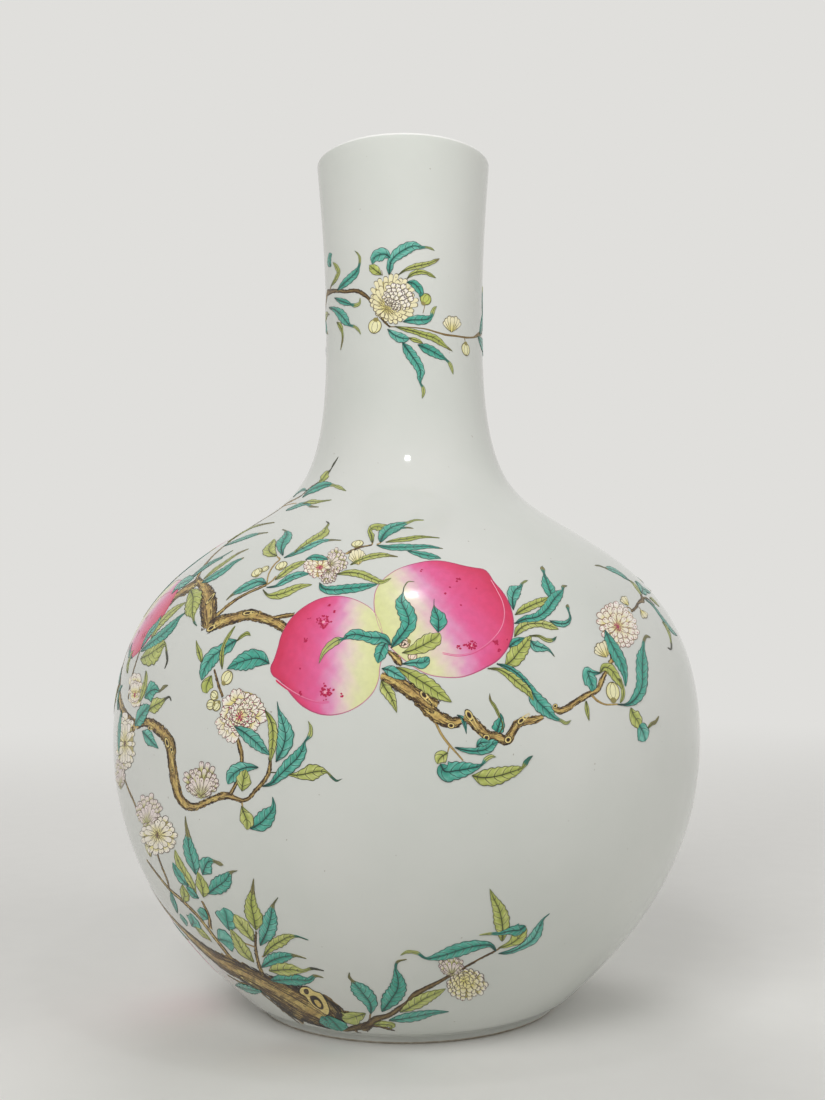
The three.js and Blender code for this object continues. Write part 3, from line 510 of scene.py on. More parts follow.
# Sprays of the belly's left side, from the neck to the foot
UPPER_LEFT_SPRAY = {
    "crop": (100, 520, 6.53),
    "knots": [(210.8, 598.2, 7.2, 2.6, 78, 0), (247.8, 612.8, 5.6, 2.4, 5, 0.6),
        (211.5, 627.8, 5.6, 3.2, 25, 1.6), (195.5, 584.7, 3.4, 3.0, 70, 0)],
    "boughs": [
        [(380, 606, 26), (440, 540, 34), (520, 474, 44), (590, 432, 60), (632, 410, 74)],
        [(390, 600, 9), (450, 560, 9), (510, 500, 8), (560, 486, 7)],
        [(262, 850, 9), (232, 940, 10), (204, 1040, 10), (184, 1170, 10)],
    ],
    "leaves": [
        ("green", "olive", 2, [(812, 166, 5), (900, 130, 30), (980, 102, 30), (1050, 84, 8),
            (1100, 78, 3)]),
        ("lime", "olive", 2, [(836, 142, 5), (900, 98, 20), (980, 52, 20), (1060, 26, 9), (1142, 12, 3)]),
        ("green", "olive", 1, [(596, 384, 6), (652, 330, 34), (722, 280, 34), (800, 236, 8),
            (872, 194, 3)]),
        ("green", [(470, 482, 6), (520, 424, 60), (580, 392, 44), (614, 376, 5)]),
        ("lime", "green", 2, [(596, 452, 16), (612, 516, 84), (606, 580, 74), (610, 632, 16),
            (618, 668, 12), (634, 690, 5)]),
        ("green", "olive", 1, [(268, 856, 5), (350, 792, 44), (420, 740, 54), (482, 680, 44),
            (522, 632, 14), (568, 598, 3)]),
        ("lime", [(330, 794, 5), (372, 704, 40), (424, 642, 46), (482, 590, 38), (562, 534, 3)]),
        ("green", [(270, 840, 5), (322, 742, 40), (372, 680, 32), (404, 620, 4)]),
        ("lime", "dark", 3, [(266, 906, 8), (320, 880, 72), (382, 838, 92), (424, 812, 30), (436, 870, 10),
            (440, 922, 9), (424, 970, 3)]),
        ("lime", [(302, 984, 3), (300, 1040, 22), (284, 1112, 32), (258, 1190, 6)]),
        ("green", "olive", 3, [(292, 1160, 6), (328, 1120, 84), (368, 1106, 52), (392, 1116, 12),
            (418, 1090, 18), (446, 1078, 4)]),
        ("lime", "dark", 3, [(318, 1242, 8), (358, 1212, 72), (400, 1190, 40), (430, 1166, 14),
            (456, 1156, 12), (466, 1182, 4)]),
        ("green", [(228, 1342, 6), (264, 1284, 62), (308, 1232, 40), (330, 1214, 5)]),
        ("green", [(278, 1378, 6), (318, 1420, 62), (354, 1460, 30), (382, 1492, 3)]),
        ("lime", [(668, 936, 6), (652, 872, 36), (636, 820, 16), (630, 784, 3)]),
        ("green", [(210, 900, 6), (196, 860, 24), (206, 820, 20), (216, 800, 4)]),
        ("lime", [(180, 1000, 6), (186, 930, 24), (204, 880, 22), (220, 850, 4)]),
        ("green", [(120, 1240, 8), (118, 1180, 20), (128, 1110, 22), (146, 1080, 4)]),
    ],
    "blossoms": [(236, 1104, 32, 124, 0, "rose"), (168, 1456, 60, 200, 0, "daisy")],
}

LEFT_BOUGH_SPRAY = {
    "crop": (100, 520, 6.53),
    "under": (4,),
    "knots": [(167.3, 742.6, 5.4, 3.2, -55, 0), (171.8, 749.4, 3.4, 2.2, -60, 1),
        (172.6, 770, 2.6, 1.4, 80, 0), (150, 728, 3.6, 1.8, 0, 1)],
    "boughs": [
        [(236, 1350, 26), (300, 1320, 58), (372, 1356, 62), (428, 1412, 62), (462, 1484, 68),
         (468, 1566, 54), (478, 1650, 56), (496, 1740, 56), (516, 1806, 54), (560, 1858, 54),
         (606, 1874, 54), (680, 1850, 46), (752, 1818, 46), (836, 1800, 46), (884, 1818, 32),
         (930, 1832, 28), (968, 1820, 26), (1016, 1766, 26), (1062, 1716, 28), (1100, 1654, 26),
         (1112, 1590, 22), (1108, 1540, 14)],
        [(848, 1798, 28), (874, 1750, 24), (896, 1704, 24), (920, 1620, 24), (926, 1560, 26),
         (908, 1462, 30), (890, 1400, 14)],
        [(924, 1830, 12), (930, 1868, 10), (934, 1900, 8)],
    ],
    "leaves": [
        ("green", [(878, 1346, 6), (948, 1390, 82), (1018, 1448, 92), (1070, 1500, 52), (1114, 1536, 5)]),
        ("lime", [(1078, 1240, 6), (1120, 1320, 52), (1132, 1420, 62), (1124, 1500, 44), (1112, 1580, 6)]),
        ("green", [(1150, 1580, 8), (1196, 1490, 96), (1212, 1400, 112), (1192, 1310, 62), (1166, 1234, 14),
            (1158, 1184, 3)]),
        ("green", "lime", 3, [(1062, 1740, 8), (1117, 1722, 30), (1176, 1666, 70), (1235, 1607, 96),
            (1294, 1548, 88), (1324, 1497, 58), (1336, 1452, 14), (1374, 1400, 30), (1376, 1350, 20),
            (1360, 1312, 3)]),
        ("lime", "green", 3, [(1099, 1648, 6), (1190, 1652, 12), (1294, 1666, 50), (1338, 1659, 88),
            (1390, 1647, 112), (1442, 1640, 68), (1486, 1650, 16), (1515, 1681, 20), (1545, 1703, 15),
            (1582, 1690, 3)]),
        ("green", [(1036, 1616, 8), (968, 1614, 60), (900, 1640, 108), (850, 1690, 70), (836, 1726, 8)]),
        ("lime", [(928, 1772, 6), (934, 1726, 92), (946, 1664, 74), (956, 1628, 8)]),
        ("lime", [(926, 1868, 6), (944, 1918, 62), (962, 1966, 94), (962, 2024, 10)]),
        ("green", [(984, 2018, 14), (1048, 1980, 118), (1098, 1930, 108), (1134, 1870, 34),
            (1128, 1808, 4)]),
    ],
    "blossoms": [(846, 1352, 92, 106, 0, "collar"), (944, 1240, 152, 148, 0, "rose"),
        (666, 1692, 116, 106, 4, "fan")],
}

CORNER_SPRAY = {
    "crop": (100, 760, 5.41),
    "boughs": [
        [(252, 540, 9), (310, 620, 12), (380, 704, 14), (450, 766, 16), (520, 836, 16), (590, 922, 17),
         (650, 1000, 18), (720, 1082, 18), (770, 1116, 16)],
        [(300, 476, 9), (330, 566, 10), (364, 652, 10), (376, 700, 8)],
        [(600, 916, 13), (584, 830, 11), (552, 764, 10)],
        [(884, 1172, 16), (856, 1096, 14), (842, 1004, 12), (846, 930, 9)],
        [(838, 1014, 7), (786, 996, 7), (744, 986, 6)],
        [(876, 1068, 8), (896, 1060, 7)],
        [(100, 0, 9), (150, 150, 10), (196, 262, 10), (214, 330, 8)],
        [(690, 1166, 8), (762, 1206, 10), (832, 1214, 8)],
        [(874, 1262, 8), (970, 1340, 9), (1082, 1446, 8)],
    ],
    "leaves": [
        ("green", "olive", 3, [(520, 622, 8), (504, 556, 64), (482, 470, 60), (476, 404, 24),
            (466, 350, 12), (462, 304, 3)]),
        ("green", "olive", 3, [(556, 622, 6), (570, 582, 82), (594, 548, 50), (620, 550, 14),
            (648, 562, 20), (668, 570, 4)]),
        ("green", "olive", 2, [(584, 726, 6), (630, 690, 92), (682, 650, 82), (712, 608, 18),
            (744, 600, 3)]),
        ("lime", [(562, 744, 6), (556, 690, 62), (542, 640, 34), (530, 608, 5)]),
        ("lime", [(522, 726, 5), (490, 662, 34), (450, 602, 42), (422, 540, 32), (406, 486, 3)]),
        ("green", [(480, 684, 5), (442, 640, 44), (412, 594, 32), (394, 556, 3)]),
        ("green", [(536, 750, 5), (500, 720, 34), (468, 686, 5)]),
        ("lime", [(452, 768, 5), (458, 716, 36), (446, 676, 4)]),
        ("green", [(588, 864, 5), (560, 838, 52), (528, 816, 5)]),
        ("green", [(498, 900, 6), (506, 866, 50), (490, 830, 5)]),
        ("lime", [(514, 900, 6), (552, 936, 36), (598, 972, 5)]),
        ("green", [(420, 830, 5), (400, 770, 26), (384, 712, 4)]),
        ("green", [(470, 900, 8), (450, 860, 30), (434, 834, 5)]),
        ("green", [(700, 924, 6), (690, 870, 92), (680, 822, 62), (668, 800, 6)]),
        ("lime", [(832, 984, 6), (790, 922, 62), (752, 872, 60), (728, 836, 6)]),
        ("lime", "olive", 2, [(846, 922, 8), (834, 850, 86), (820, 780, 62), (826, 708, 22),
            (832, 642, 3)]),
        ("green", "olive", 2, [(868, 1006, 8), (904, 930, 92), (926, 850, 72), (936, 788, 18),
            (964, 744, 4)]),
        ("lime", "green", 2, [(886, 1064, 5), (930, 1012, 54), (980, 980, 62), (1022, 958, 34),
            (1064, 956, 10), (1128, 976, 3)]),
        ("green", "olive", 2, [(876, 1124, 5), (940, 1082, 62), (1002, 1064, 46), (1052, 1060, 14),
            (1118, 1076, 3)]),
        ("lime", "dark", 2, [(916, 1142, 6), (980, 1136, 62), (1042, 1134, 52), (1100, 1142, 16),
            (1150, 1130, 12), (1212, 1142, 3)]),
        ("green", "olive", 2, [(926, 1194, 6), (1000, 1190, 52), (1070, 1190, 58), (1132, 1192, 26),
            (1168, 1170, 14), (1210, 1180, 3)]),
        ("green", [(640, 970, 6), (690, 980, 82), (738, 1002, 6)]),
        ("lime", [(834, 1096, 6), (782, 1042, 52), (742, 972, 42), (706, 914, 5)]),
        ("green", [(736, 1222, 6), (800, 1240, 42), (876, 1254, 6)]),
        ("green", [(1200, 1388, 10), (1230, 1410, 58), (1262, 1444, 52), (1290, 1476, 8)]),
    ],
    "buds": [(262, 484, 34, "round", 90)],
    "blossoms": [(266, 262, 68, 82, 8, "fan"), (316, 404, 100, 116, -20, "daisy"),
        (112, 60, 24, 80, 0, "fan")],
}

# The thick trunk at the lower left: its line in a crop's pixels, and in the photograph's own its knots and
# the scar of its cut, as the scar's outline and those of its holes
TRUNK = {
    "crop": (100, 760, 5.41),
    "line": [(430, 900, 40), (500, 972, 62), (562, 1026, 78), (640, 1086, 92), (732, 1138, 102),
        (832, 1186, 114), (922, 1236, 138), (1010, 1286, 176), (1090, 1336, 206), (1155, 1368, 204),
        (1206, 1402, 168), (1250, 1432, 104), (1284, 1454, 50)],
    "knots": [(246.5, 980.5, 7, 2.6, -34, 1.4), (207, 938, 6, 1.6, -38, 0)],
    "scar": [
        [(299.9, 991.8), (301.9, 988), (308.4, 988), (314.7, 992.1), (320.9, 994.2), (324.8, 999.5),
         (327.4, 1004.5), (329.3, 1010.7), (328, 1014.8), (324.8, 1014.3), (320.1, 1010.7), (314.7, 1007.3),
         (309.4, 1001.9), (305.9, 996.7), (301.6, 994.2)],
        [(303.8, 991.4), (305, 989.3), (307.8, 989.6), (309.1, 992.4), (308.1, 994.6), (305.6, 994.2)],
        [(310, 997.2), (312.5, 995.8), (316.5, 996.7), (320.9, 1000.5), (323.4, 1005.1), (323.7, 1008.9),
         (321.5, 1009.8), (317.4, 1007.9), (312.5, 1003.3)],
        [(314.3, 1000.8), (317.8, 1000.5), (321.2, 1004.5), (320.9, 1007.6), (317.8, 1006.4)],
    ],
}

# The sprays under the neck and the spray at the lower right
SHOULDER_SPRAY = {
    "crop": (280, 380, 6.53),
    "boughs": [
        [(0, 838, 14), (40, 806, 14), (90, 780, 12), (140, 752, 8), (190, 706, 5), (250, 664, 4)],
        [(20, 822, 8), (70, 806, 6), (110, 800, 5)],
        [(430, 1134, 14), (480, 1104, 12), (540, 1084, 10), (600, 1074, 9)],
        [(600, 1074, 10), (606, 1050, 9), (608, 1036, 7)],
        [(630, 1070, 8), (650, 1062, 7), (664, 1050, 6)],
    ],
    "leaves": [
        ("green", [(88, 762, 5), (112, 738, 12), (140, 718, 14), (180, 718, 3)]),
        ("lime", "dark", 3, [(250, 672, 6), (280, 646, 40), (304, 612, 36), (324, 594, 10), (352, 548, 9),
            (382, 500, 3)]),
        ("green", "lime", 3, [(148, 764, 5), (200, 722, 40), (256, 696, 46), (312, 682, 26), (344, 684, 14),
            (386, 698, 20), (434, 722, 3)]),
        ("lime", [(150, 806, 5), (190, 792, 20), (236, 794, 22), (280, 788, 10), (338, 780, 3)]),
        ("green", "olive", 2, [(42, 846, 14), (90, 828, 34), (140, 810, 30), (176, 806, 14), (206, 822, 10),
            (256, 826, 3)]),
        ("lime", "dark", 2, [(80, 1140, 6), (150, 1086, 30), (220, 1040, 44), (286, 996, 40),
            (302, 962, 14), (318, 932, 12), (302, 918, 3)]),
        ("lime", [(604, 1060, 12), (598, 1012, 40), (590, 974, 26), (622, 956, 40), (676, 966, 46),
            (690, 990, 6)]),
        ("green", "lime", 3, [(656, 1056, 14), (680, 1006, 54), (722, 966, 60), (782, 942, 38),
            (834, 928, 14), (880, 912, 10), (940, 912, 3)]),
        ("green", "olive", 2, [(700, 1006, 8), (752, 976, 30), (790, 964, 12), (830, 960, 10),
            (872, 966, 3)]),
        ("lime", [(690, 1056, 5), (760, 1044, 24), (830, 1036, 30), (906, 1022, 22), (970, 1022, 10),
            (1042, 1028, 3)]),
    ],
}

LOWER_RIGHT_SPRAY = {
    "crop": (300, 880, 6.03),
    "dark": True,
    "boughs": [
        [(380, 912, 40), (424, 872, 38), (470, 838, 34), (532, 820, 26), (600, 776, 24), (650, 740, 24),
         (700, 690, 32), (760, 656, 26), (830, 622, 22), (900, 582, 18), (1000, 526, 13), (1100, 470, 11),
         (1180, 430, 11)],
        [(420, 872, 12), (424, 820, 12), (436, 780, 9)],
        [(436, 766, 8), (466, 762, 6)],
        [(910, 580, 12), (908, 556, 12)],
        [(1180, 430, 10), (1220, 404, 10), (1260, 386, 6)],
        [(430, 880, 16), (480, 886, 14), (530, 900, 12), (572, 912, 4)],
        [(262, 914, 20), (320, 900, 26), (380, 884, 30), (430, 868, 30)],
        [(330, 900, 16), (352, 930, 12), (372, 946, 5)],
    ],
    "leaves": [
        ("green", "olive", 3, [(428, 808, 8), (424, 742, 76), (386, 690, 90), (344, 640, 66),
            (318, 612, 16), (298, 588, 14), (298, 560, 4)]),
        ("green", "olive", 2, [(496, 796, 12), (550, 720, 100), (590, 650, 104), (590, 590, 66),
            (576, 536, 18), (590, 494, 14), (644, 480, 3)]),
        ("lime", [(396, 806, 8), (330, 826, 60), (280, 838, 64), (252, 832, 10)]),
        ("lime", [(604, 800, 8), (680, 760, 62), (760, 712, 66), (826, 682, 40), (878, 658, 3)]),
        ("green", [(536, 848, 5), (620, 838, 50), (700, 824, 58), (790, 804, 36), (896, 796, 3)]),
        ("lime", [(444, 872, 6), (500, 870, 34), (552, 878, 30), (548, 900, 4)]),
        ("lime", [(1218, 372, 16), (1222, 320, 62), (1216, 250, 100), (1200, 180, 84), (1166, 110, 40),
            (1144, 54, 3)]),
        ("green", "lime", 3, [(1182, 430, 10), (1150, 396, 26), (1060, 398, 64), (940, 430, 82),
            (840, 462, 54), (760, 474, 14), (700, 440, 20), (646, 436, 18), (606, 456, 3)]),
        ("lime", [(1196, 412, 6), (1260, 390, 34), (1310, 356, 74), (1340, 316, 52), (1356, 276, 8)]),
        ("green", "lime", 2, [(1356, 276, 20), (1330, 298, 66), (1270, 306, 46), (1196, 324, 20),
            (1140, 326, 14), (1080, 334, 3)]),
        ("green", [(1196, 446, 5), (1262, 436, 26), (1330, 408, 34), (1400, 360, 60), (1440, 290, 44),
            (1464, 240, 12), (1504, 204, 3)]),
        ("green", [(162, 820, 10), (200, 852, 60), (232, 890, 60), (252, 916, 8)]),
    ],
    "blossoms": [(912, 510, 80, 58, 0, "fan"), (1004, 634, 130, 94, -8, "dome")],
}


# Brush strokes. A track is rows of turn, arc length and width: the middle line of a stroke.

WIDEST_STRETCH = 2.2
LEAST_STEP = 0.05
LEAST_WIDTH = 0.15
LEAST_ROWS = 5


def traced(crop, points):
    """Track of a stroke read in a crop of the photograph as (x, y, width)."""
    px, py = photo_place(crop, *np.array(points)[:, :2].T)
    width = np.array(points, float)[:, 2] / crop[2]
    run = unit(np.gradient(np.column_stack((px, py)), axis=0))
    half = width / 2
    turn, arc = picked(px, py)
    edges = [
        on_vase(*picked(px - side * run[:, 1] * half, py + side * run[:, 0] * half), 0)
        for side in (1, -1)]
    true = np.linalg.norm(edges[0] - edges[1], axis=1)
    seen = width * depth_at(turn, arc) / FOCAL_PX
    return np.column_stack((turn, arc, np.clip(true, seen, seen * WIDEST_STRETCH)))


def placed(points, turned_by=0):
    """Track through (share of a turn from the front, share of the vase's height, width)."""
    turns, heights, widths = np.array(points, float).T
    return np.column_stack((turns * FULL_TURN + turned_by, arc_at_height(heights * VASE_HEIGHT), widths))


class TracedGround:
    """Places read in a crop of the photograph, turned round the vase."""

    def __init__(self, crop, turned_by):
        self.crop = crop
        self.turned_by = turned_by

    def at(self, x, y):
        turn, arc = picked(*photo_place(self.crop, x, y))
        return turn + self.turned_by, arc

    def scale(self, turn, arc):
        """Millimetres that a pixel of the crop covers."""
        return depth_at(turn - self.turned_by, arc) / FOCAL_PX / self.crop[2]

    def track(self, points):
        track = traced(self.crop, points)
        track[:, 0] += self.turned_by
        return track


class LocalGround:
    """Millimetres to the right of and below a place: its share of a turn and of the vase's height."""

    def __init__(self, turn_share, height_share, turned_by=0):
        self.turn = turn_share * FULL_TURN + turned_by
        self.arc = arc_at_height(height_share * VASE_HEIGHT)

    def at(self, x, y):
        return self.turn + np.asarray(x) / radius_at(self.arc), self.arc - np.asarray(y)

    def scale(self, turn, arc):
        return 1.0


def distances(track):
    """How far along the track each of its rows lies."""
    radius = radius_at(track[:, 1])
    middle = (radius[1:] + radius[:-1]) / 2
    moves = np.diff(track[:, :2], axis=0)
    lengths = np.maximum(np.hypot(moves[:, 0] * middle, moves[:, 1]), LEAST_STEP)
    return np.concatenate(((0,), np.cumsum(lengths)))


def smoothed(track, step):
    """The track as a smooth line with a row about every step, and each row's distance along it."""
    run = distances(track)
    lengths = np.diff(run)
    slopes = np.diff(track, axis=0) / lengths[:, None]
    tangents = np.vstack((slopes[:1], slopes, slopes[-1:]))
    before, after = tangents[:-1], tangents[1:]
    back = np.concatenate((lengths[:1], lengths))[:, None]
    ahead = np.concatenate((lengths, lengths[-1:]))[:, None]
    tangent = (after * back + before * ahead) / (back + ahead)
    count = max(LEAST_ROWS, math.ceil(run[-1] / step) + 1)
    at = np.linspace(0, run[-1], count)
    span = np.clip(np.searchsorted(run, at, side="right") - 1, 0, len(lengths) - 1)
    size = lengths[span][:, None]
    t = (at - run[span])[:, None] / size
    a, b = track[span], track[span + 1]
    rows = (
        a * (2 * t ** 3 - 3 * t ** 2 + 1) + b * (3 * t ** 2 - 2 * t ** 3)
        + tangent[span] * size * (t ** 3 - 2 * t ** 2 + t) + tangent[span + 1] * size * (t ** 3 - t ** 2))
    rows[:, 2] = np.maximum(rows[:, 2], LEAST_WIDTH)
    return rows, at


def sideways(rows):
    """For each row, the turn and arc length that one millimetre to the stroke's left makes."""
    radius = radius_at(rows[:, 1])
    run = np.gradient(rows[:, :2], axis=0)
    run[:, 0] *= radius
    run = unit(run)
    return np.column_stack((-run[:, 1] / radius, run[:, 0]))


def beside(rows, offsets):
    """Turns and arc lengths of points beside each row, at offsets in millimetres: rows by columns."""
    side = sideways(rows)
    turn = rows[:, 0:1] + side[:, 0:1] * offsets
    arc = rows[:, 1:2] + side[:, 1:2] * offsets
    return turn, np.clip(arc, 0, WALL_RUN)


def moved(turn, arc, ahead, across, angle):
    """Turn and arc length of a place so far ahead of another at an angle, and so far to the left of that."""
    c, s = math.cos(angle), math.sin(angle)
    return turn + (ahead * c - across * s) / radius_at(arc), arc + ahead * s + across * c


def circle(count):
    """Angles spaced evenly round a circle."""
    return np.linspace(0, FULL_TURN, count, endpoint=False)


def mixed(first, second, share):
    """Colours between two, by a share from 0 to 1 for each point."""
    share = np.clip(share, 0, 1)[..., None]
    return np.asarray(first) * (1 - share) + np.asarray(second) * share


def smoothstep(low, high, value):
    """0 up to the low value, 1 from the high one, and a smooth climb between."""
    t = np.clip((value - low) / (high - low), 0, 1)
    return t * t * (3 - 2 * t)


def in_scene(name, data):
    """An object of the scene for a mesh, a lamp or a camera."""
    thing = bpy.data.objects.new(name, data)
    bpy.context.scene.collection.objects.link(thing)
    return thing


def vase_piece(name, mesh, material):
    """A smooth piece of the vase in its material, riding on the vase's one body."""
    mesh.polygons.foreach_set("use_smooth", [True] * len(mesh.polygons))
    mesh.materials.append(material)
    piece = in_scene(name, mesh)
    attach(piece, ROOT)
    return piece


class Enamel:
    """Patches of one enamel, gathered into one piece of the vase."""

    def __init__(self):
        self.points = []
        self.colours = []
        self.faces = []
        self.middles = []
        self.count = 0

    def net(self, turn, arc, lift, colour, closed=False):
        """Adds a net of rows by columns, in one colour or one for each point. A closed one starts inside."""
        rows, columns = turn.shape
        lift = np.broadcast_to(lift, turn.shape)
        self.points.append(on_vase(turn, arc, lift).reshape(-1, 3))
        colour = np.broadcast_to(np.asarray(colour, float), turn.shape + (3,)).reshape(-1, 3)
        self.colours.append(colour)
        index = self.count + np.arange(rows * columns).reshape(rows, columns)
        if closed:
            self.middles.append(index[0].tolist())
            index = np.column_stack((index, index[:, 0]))
        quads = np.stack((index[:-1, :-1], index[:-1, 1:], index[1:, 1:], index[1:, :-1]), axis=-1)
        self.faces.append(quads.reshape(-1, 4))
        self.count += rows * columns

    def piece(self, name, material, slot, nodes=()):
        """Makes the gathered patches a piece, in the place of its CAD nodes."""
        if not self.count:
            return
        points = np.vstack(self.points) * MM
        faces = np.vstack(self.faces)
        mesh = bpy.data.meshes.new(name)
        mesh.from_pydata(points.tolist(), [], faces.tolist() + self.middles)
        colours = np.column_stack((np.vstack(self.colours), np.ones(self.count)))
        paint = mesh.attributes.new("paint", "FLOAT_COLOR", "POINT")
        paint.data.foreach_set("color", colours.astype(np.float32).ravel())
        turn_outward(mesh)
        piece = vase_piece(name, mesh, material)
        if nodes:
            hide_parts(*nodes)


def turn_outward(mesh):
    """Turns every face so that it looks away from the vase's axis."""
    count = len(mesh.polygons)
    centres = np.empty(count * 3)
    normals = np.empty(count * 3)
    mesh.polygons.foreach_get("center", centres)
    mesh.polygons.foreach_get("normal", normals)
    centres, normals = centres.reshape(-1, 3), normals.reshape(-1, 3)
    radius = np.hypot(centres[:, 0], centres[:, 1])
    out_r, out_z = outward_at(arc_at_height(centres[:, 2] / MM))
    outward = (normals[:, 0] * centres[:, 0] + normals[:, 1] * centres[:, 1]) / radius * out_r
    outward += normals[:, 2] * out_z
    for index in np.flatnonzero(outward < 0):
        mesh.polygons[int(index)].flip()


# Lifts off the glaze: a patch's rim is sunk a little, so that it meets the glaze all round.
# A crown is how much higher a patch is in its middle.
RIM_LIFT = -0.04
PEACH_LIFT = 0.15
PEACH_CROWN = 0.04
BOUGH_LIFT = 0.06
BOUGH_CROWN = 0.03
LEAF_LIFT = 0.23
LEAF_CROWN = 0.04
LAYER_LIFT = 0.03
LAYER_COUNT = 4
PETAL_LIFT = 0.22
LINE_LIFT = 0.015
LINE_ROW = 0.9
LINE_ENDS = 2.0
LINE_BOW = np.array((-0.004, 0.004, -0.004))

# Rings of a small filled patch, as shares of its outline. A disc's sides, and how far its rim dips
FILL_RINGS = np.array((0.02, 0.6, 1))
DISC_SIDES = 14
DISC_BOW = 0.012


def line(enamel, track, width, lift, colours, taper=(1, 1)):
    """A thin drawn line along a track, fading from its first colour to its second."""
    rows, at = smoothed(track, LINE_ROW)
    share = at / at[-1]
    half = width / 2 * (taper[0] * (1 - share) + taper[1] * share)
    turn, arc = beside(rows, rounded(at, half, LINE_ENDS)[:, None] * np.array((-1, 0, 1)))
    colour = mixed(*colours, share[:, None] * np.ones(3))
    enamel.net(turn, arc, LINE_BOW + lift, colour)


# Leaves

LEAF_COLOURS = {
    "green": {"base": linear(74, 172, 150), "pale": linear(142, 208, 194), "deep": linear(30, 110, 98),
              "vein": linear(18, 60, 56)},
    "lime": {"base": linear(184, 194, 100), "pale": linear(216, 218, 146), "deep": linear(122, 134, 56),
             "vein": linear(70, 72, 36)},
}
TIP_COLOURS = {
    "green": linear(40, 120, 106),
    "lime": linear(184, 190, 112),
    "olive": linear(146, 138, 86),
    "dark": linear(70, 72, 66),
}
EDGE_SEPIA = linear(52, 50, 42)
LEAF_SLIMMING = 0.95
LEAF_ROW = 0.75
LEAF_ACROSS = np.array((-1, -0.9, -0.66, -0.34, -0.08, 0.08, 0.34, 0.66, 0.9, 1))
LEAF_RIM = 0.1
LEAF_ENDS = 0.5
LEAF_SEED = 7
SCALLOP = 0.085
VEIN_SPACING = 4.4
VEIN_LEAN = 0.9
VEIN_WIDTH = 0.42
VEIN_POINTS = 6
VEIN_RUN = 0.9
VEIN_BOW = (0.35, 0.9)
VEIN_OFFSET = 0.3
FIRST_VEIN = 0.6
VEINED_SHARE = 0.88
MIDRIB_WIDTH = 0.6
MIDRIB_TAPER = ((0, 0.6, 1), (1.15, 0.8, 0.35))
EDGE_WIDTH = 0.5
EDGE_RINGS = np.array((1.0, 0.55, 0.1))
EDGE_LIFTS = np.array(((1, 1), (1, 1.5), (0.4, 1)))
LEAST_VEINED_WIDTH = 3.0
LEAF_UNDER_LIFT = 0.015

# Shading of a leaf: how much paler it is between its veins, least of all at the midrib, how much deeper
# at its edge, midrib and stalk, how strong its patches are, and where its tip's colour sets in
LEAF_TINT = (-0.2, 0.25)
BETWEEN_VEINS = 0.75
BY_THE_MIDRIB = 0.3
EDGE_SHADE = 0.45
EDGE_SHADE_SPAN = (0.8, 1.02)
MIDRIB_SHADE = 0.6
MIDRIB_SHADE_REACH = 0.9
STALK_SHADE = 0.45
STALK_SHADE_SHARE = 0.3
PATCH_LENGTH = 5
PATCH_PALENESS = 0.2
PATCH_SHADE = 0.15
TIP_FADE = (-1.2, 0.4)
TIP_SET_BACK = 0.15

# How near its end a stroke starts to narrow at the latest, and how far it narrows
LEAST_END = 0.05
END_NARROWING = 0.01


def rounded(at, half, share):
    """Half widths drawn in to a round end at both ends of a stroke, from a share of them on."""
    reach = np.maximum(share * half, LEAST_END)
    drawn_in = 1.0
    for away in (at, at[-1] - at):
        near = np.clip(away / reach, 0, 1)
        drawn_in = drawn_in * np.sqrt(np.clip(1 - (1 - near) ** 2, END_NARROWING, 1))
    return half * drawn_in


def domed(across, rim, lift, crown):
    """Lifts across a stroke: its two edges are sunk, and its middle is higher by the crown."""
    bulge = np.clip((1 - np.abs(across)) / rim, 0, 1)
    return RIM_LIFT + (lift - RIM_LIFT + crown * (1 - across ** 2)) * bulge


def leaf_blade(enamel, rows, at, lift, kind, tip, random_source):
    """The leaf's blade, scalloped between its veins. A curled tip is its colour and where it starts."""
    colours = LEAF_COLOURS[kind]
    half = rows[:, 2] / 2 * LEAF_SLIMMING
    scallop = np.abs(np.sin(math.pi * (at - half * VEIN_LEAN) / VEIN_SPACING))
    half = rounded(at, half * (1 - SCALLOP + 2 * SCALLOP * scallop), LEAF_ENDS)
    turn, arc = beside(rows, half[:, None] * LEAF_ACROSS)
    across = np.abs(LEAF_ACROSS)[None, :]
    out = across * half[:, None]
    phase = (at[:, None] - out * VEIN_LEAN) / VEIN_SPACING
    between = 0.5 - 0.5 * np.cos(FULL_TURN * (phase - np.floor(phase)))
    tint = random_source.uniform(*LEAF_TINT)
    patches = mottling(at, PATCH_LENGTH, LEAF_ACROSS, random_source)
    paleness = BETWEEN_VEINS * between * (BY_THE_MIDRIB + (1 - BY_THE_MIDRIB) * across)
    colour = mixed(colours["base"], colours["pale"], paleness + tint + PATCH_PALENESS * patches)
    shade = smoothstep(*EDGE_SHADE_SPAN, across) * EDGE_SHADE
    shade = shade + np.exp(-(out / MIDRIB_SHADE_REACH) ** 2) * MIDRIB_SHADE
    shade = shade + STALK_SHADE * smoothstep(STALK_SHADE_SHARE, 0, at[:, None] / at[-1])
    colour = mixed(colour, colours["deep"], shade - PATCH_SHADE * patches)
    if tip:
        tip_colour, tip_start = tip
        share = smoothstep(*(tip_start + fade for fade in TIP_FADE), at)[:, None] * np.ones_like(across)
        colour = mixed(colour, tip_colour, share)
    enamel.net(turn, arc, domed(LEAF_ACROSS, LEAF_RIM, lift, LEAF_CROWN), colour)
    return half


def off_the_midrib(rows, at, along, reach):
    """Turns and arc lengths at distances along a stroke and a reach to its side."""
    side_turn, side_arc = sideways(rows).T
    turn = np.interp(along, at, rows[:, 0]) + np.interp(along, at, side_turn) * reach
    arc = np.interp(along, at, rows[:, 1]) + np.interp(along, at, side_arc) * reach
    return turn, arc


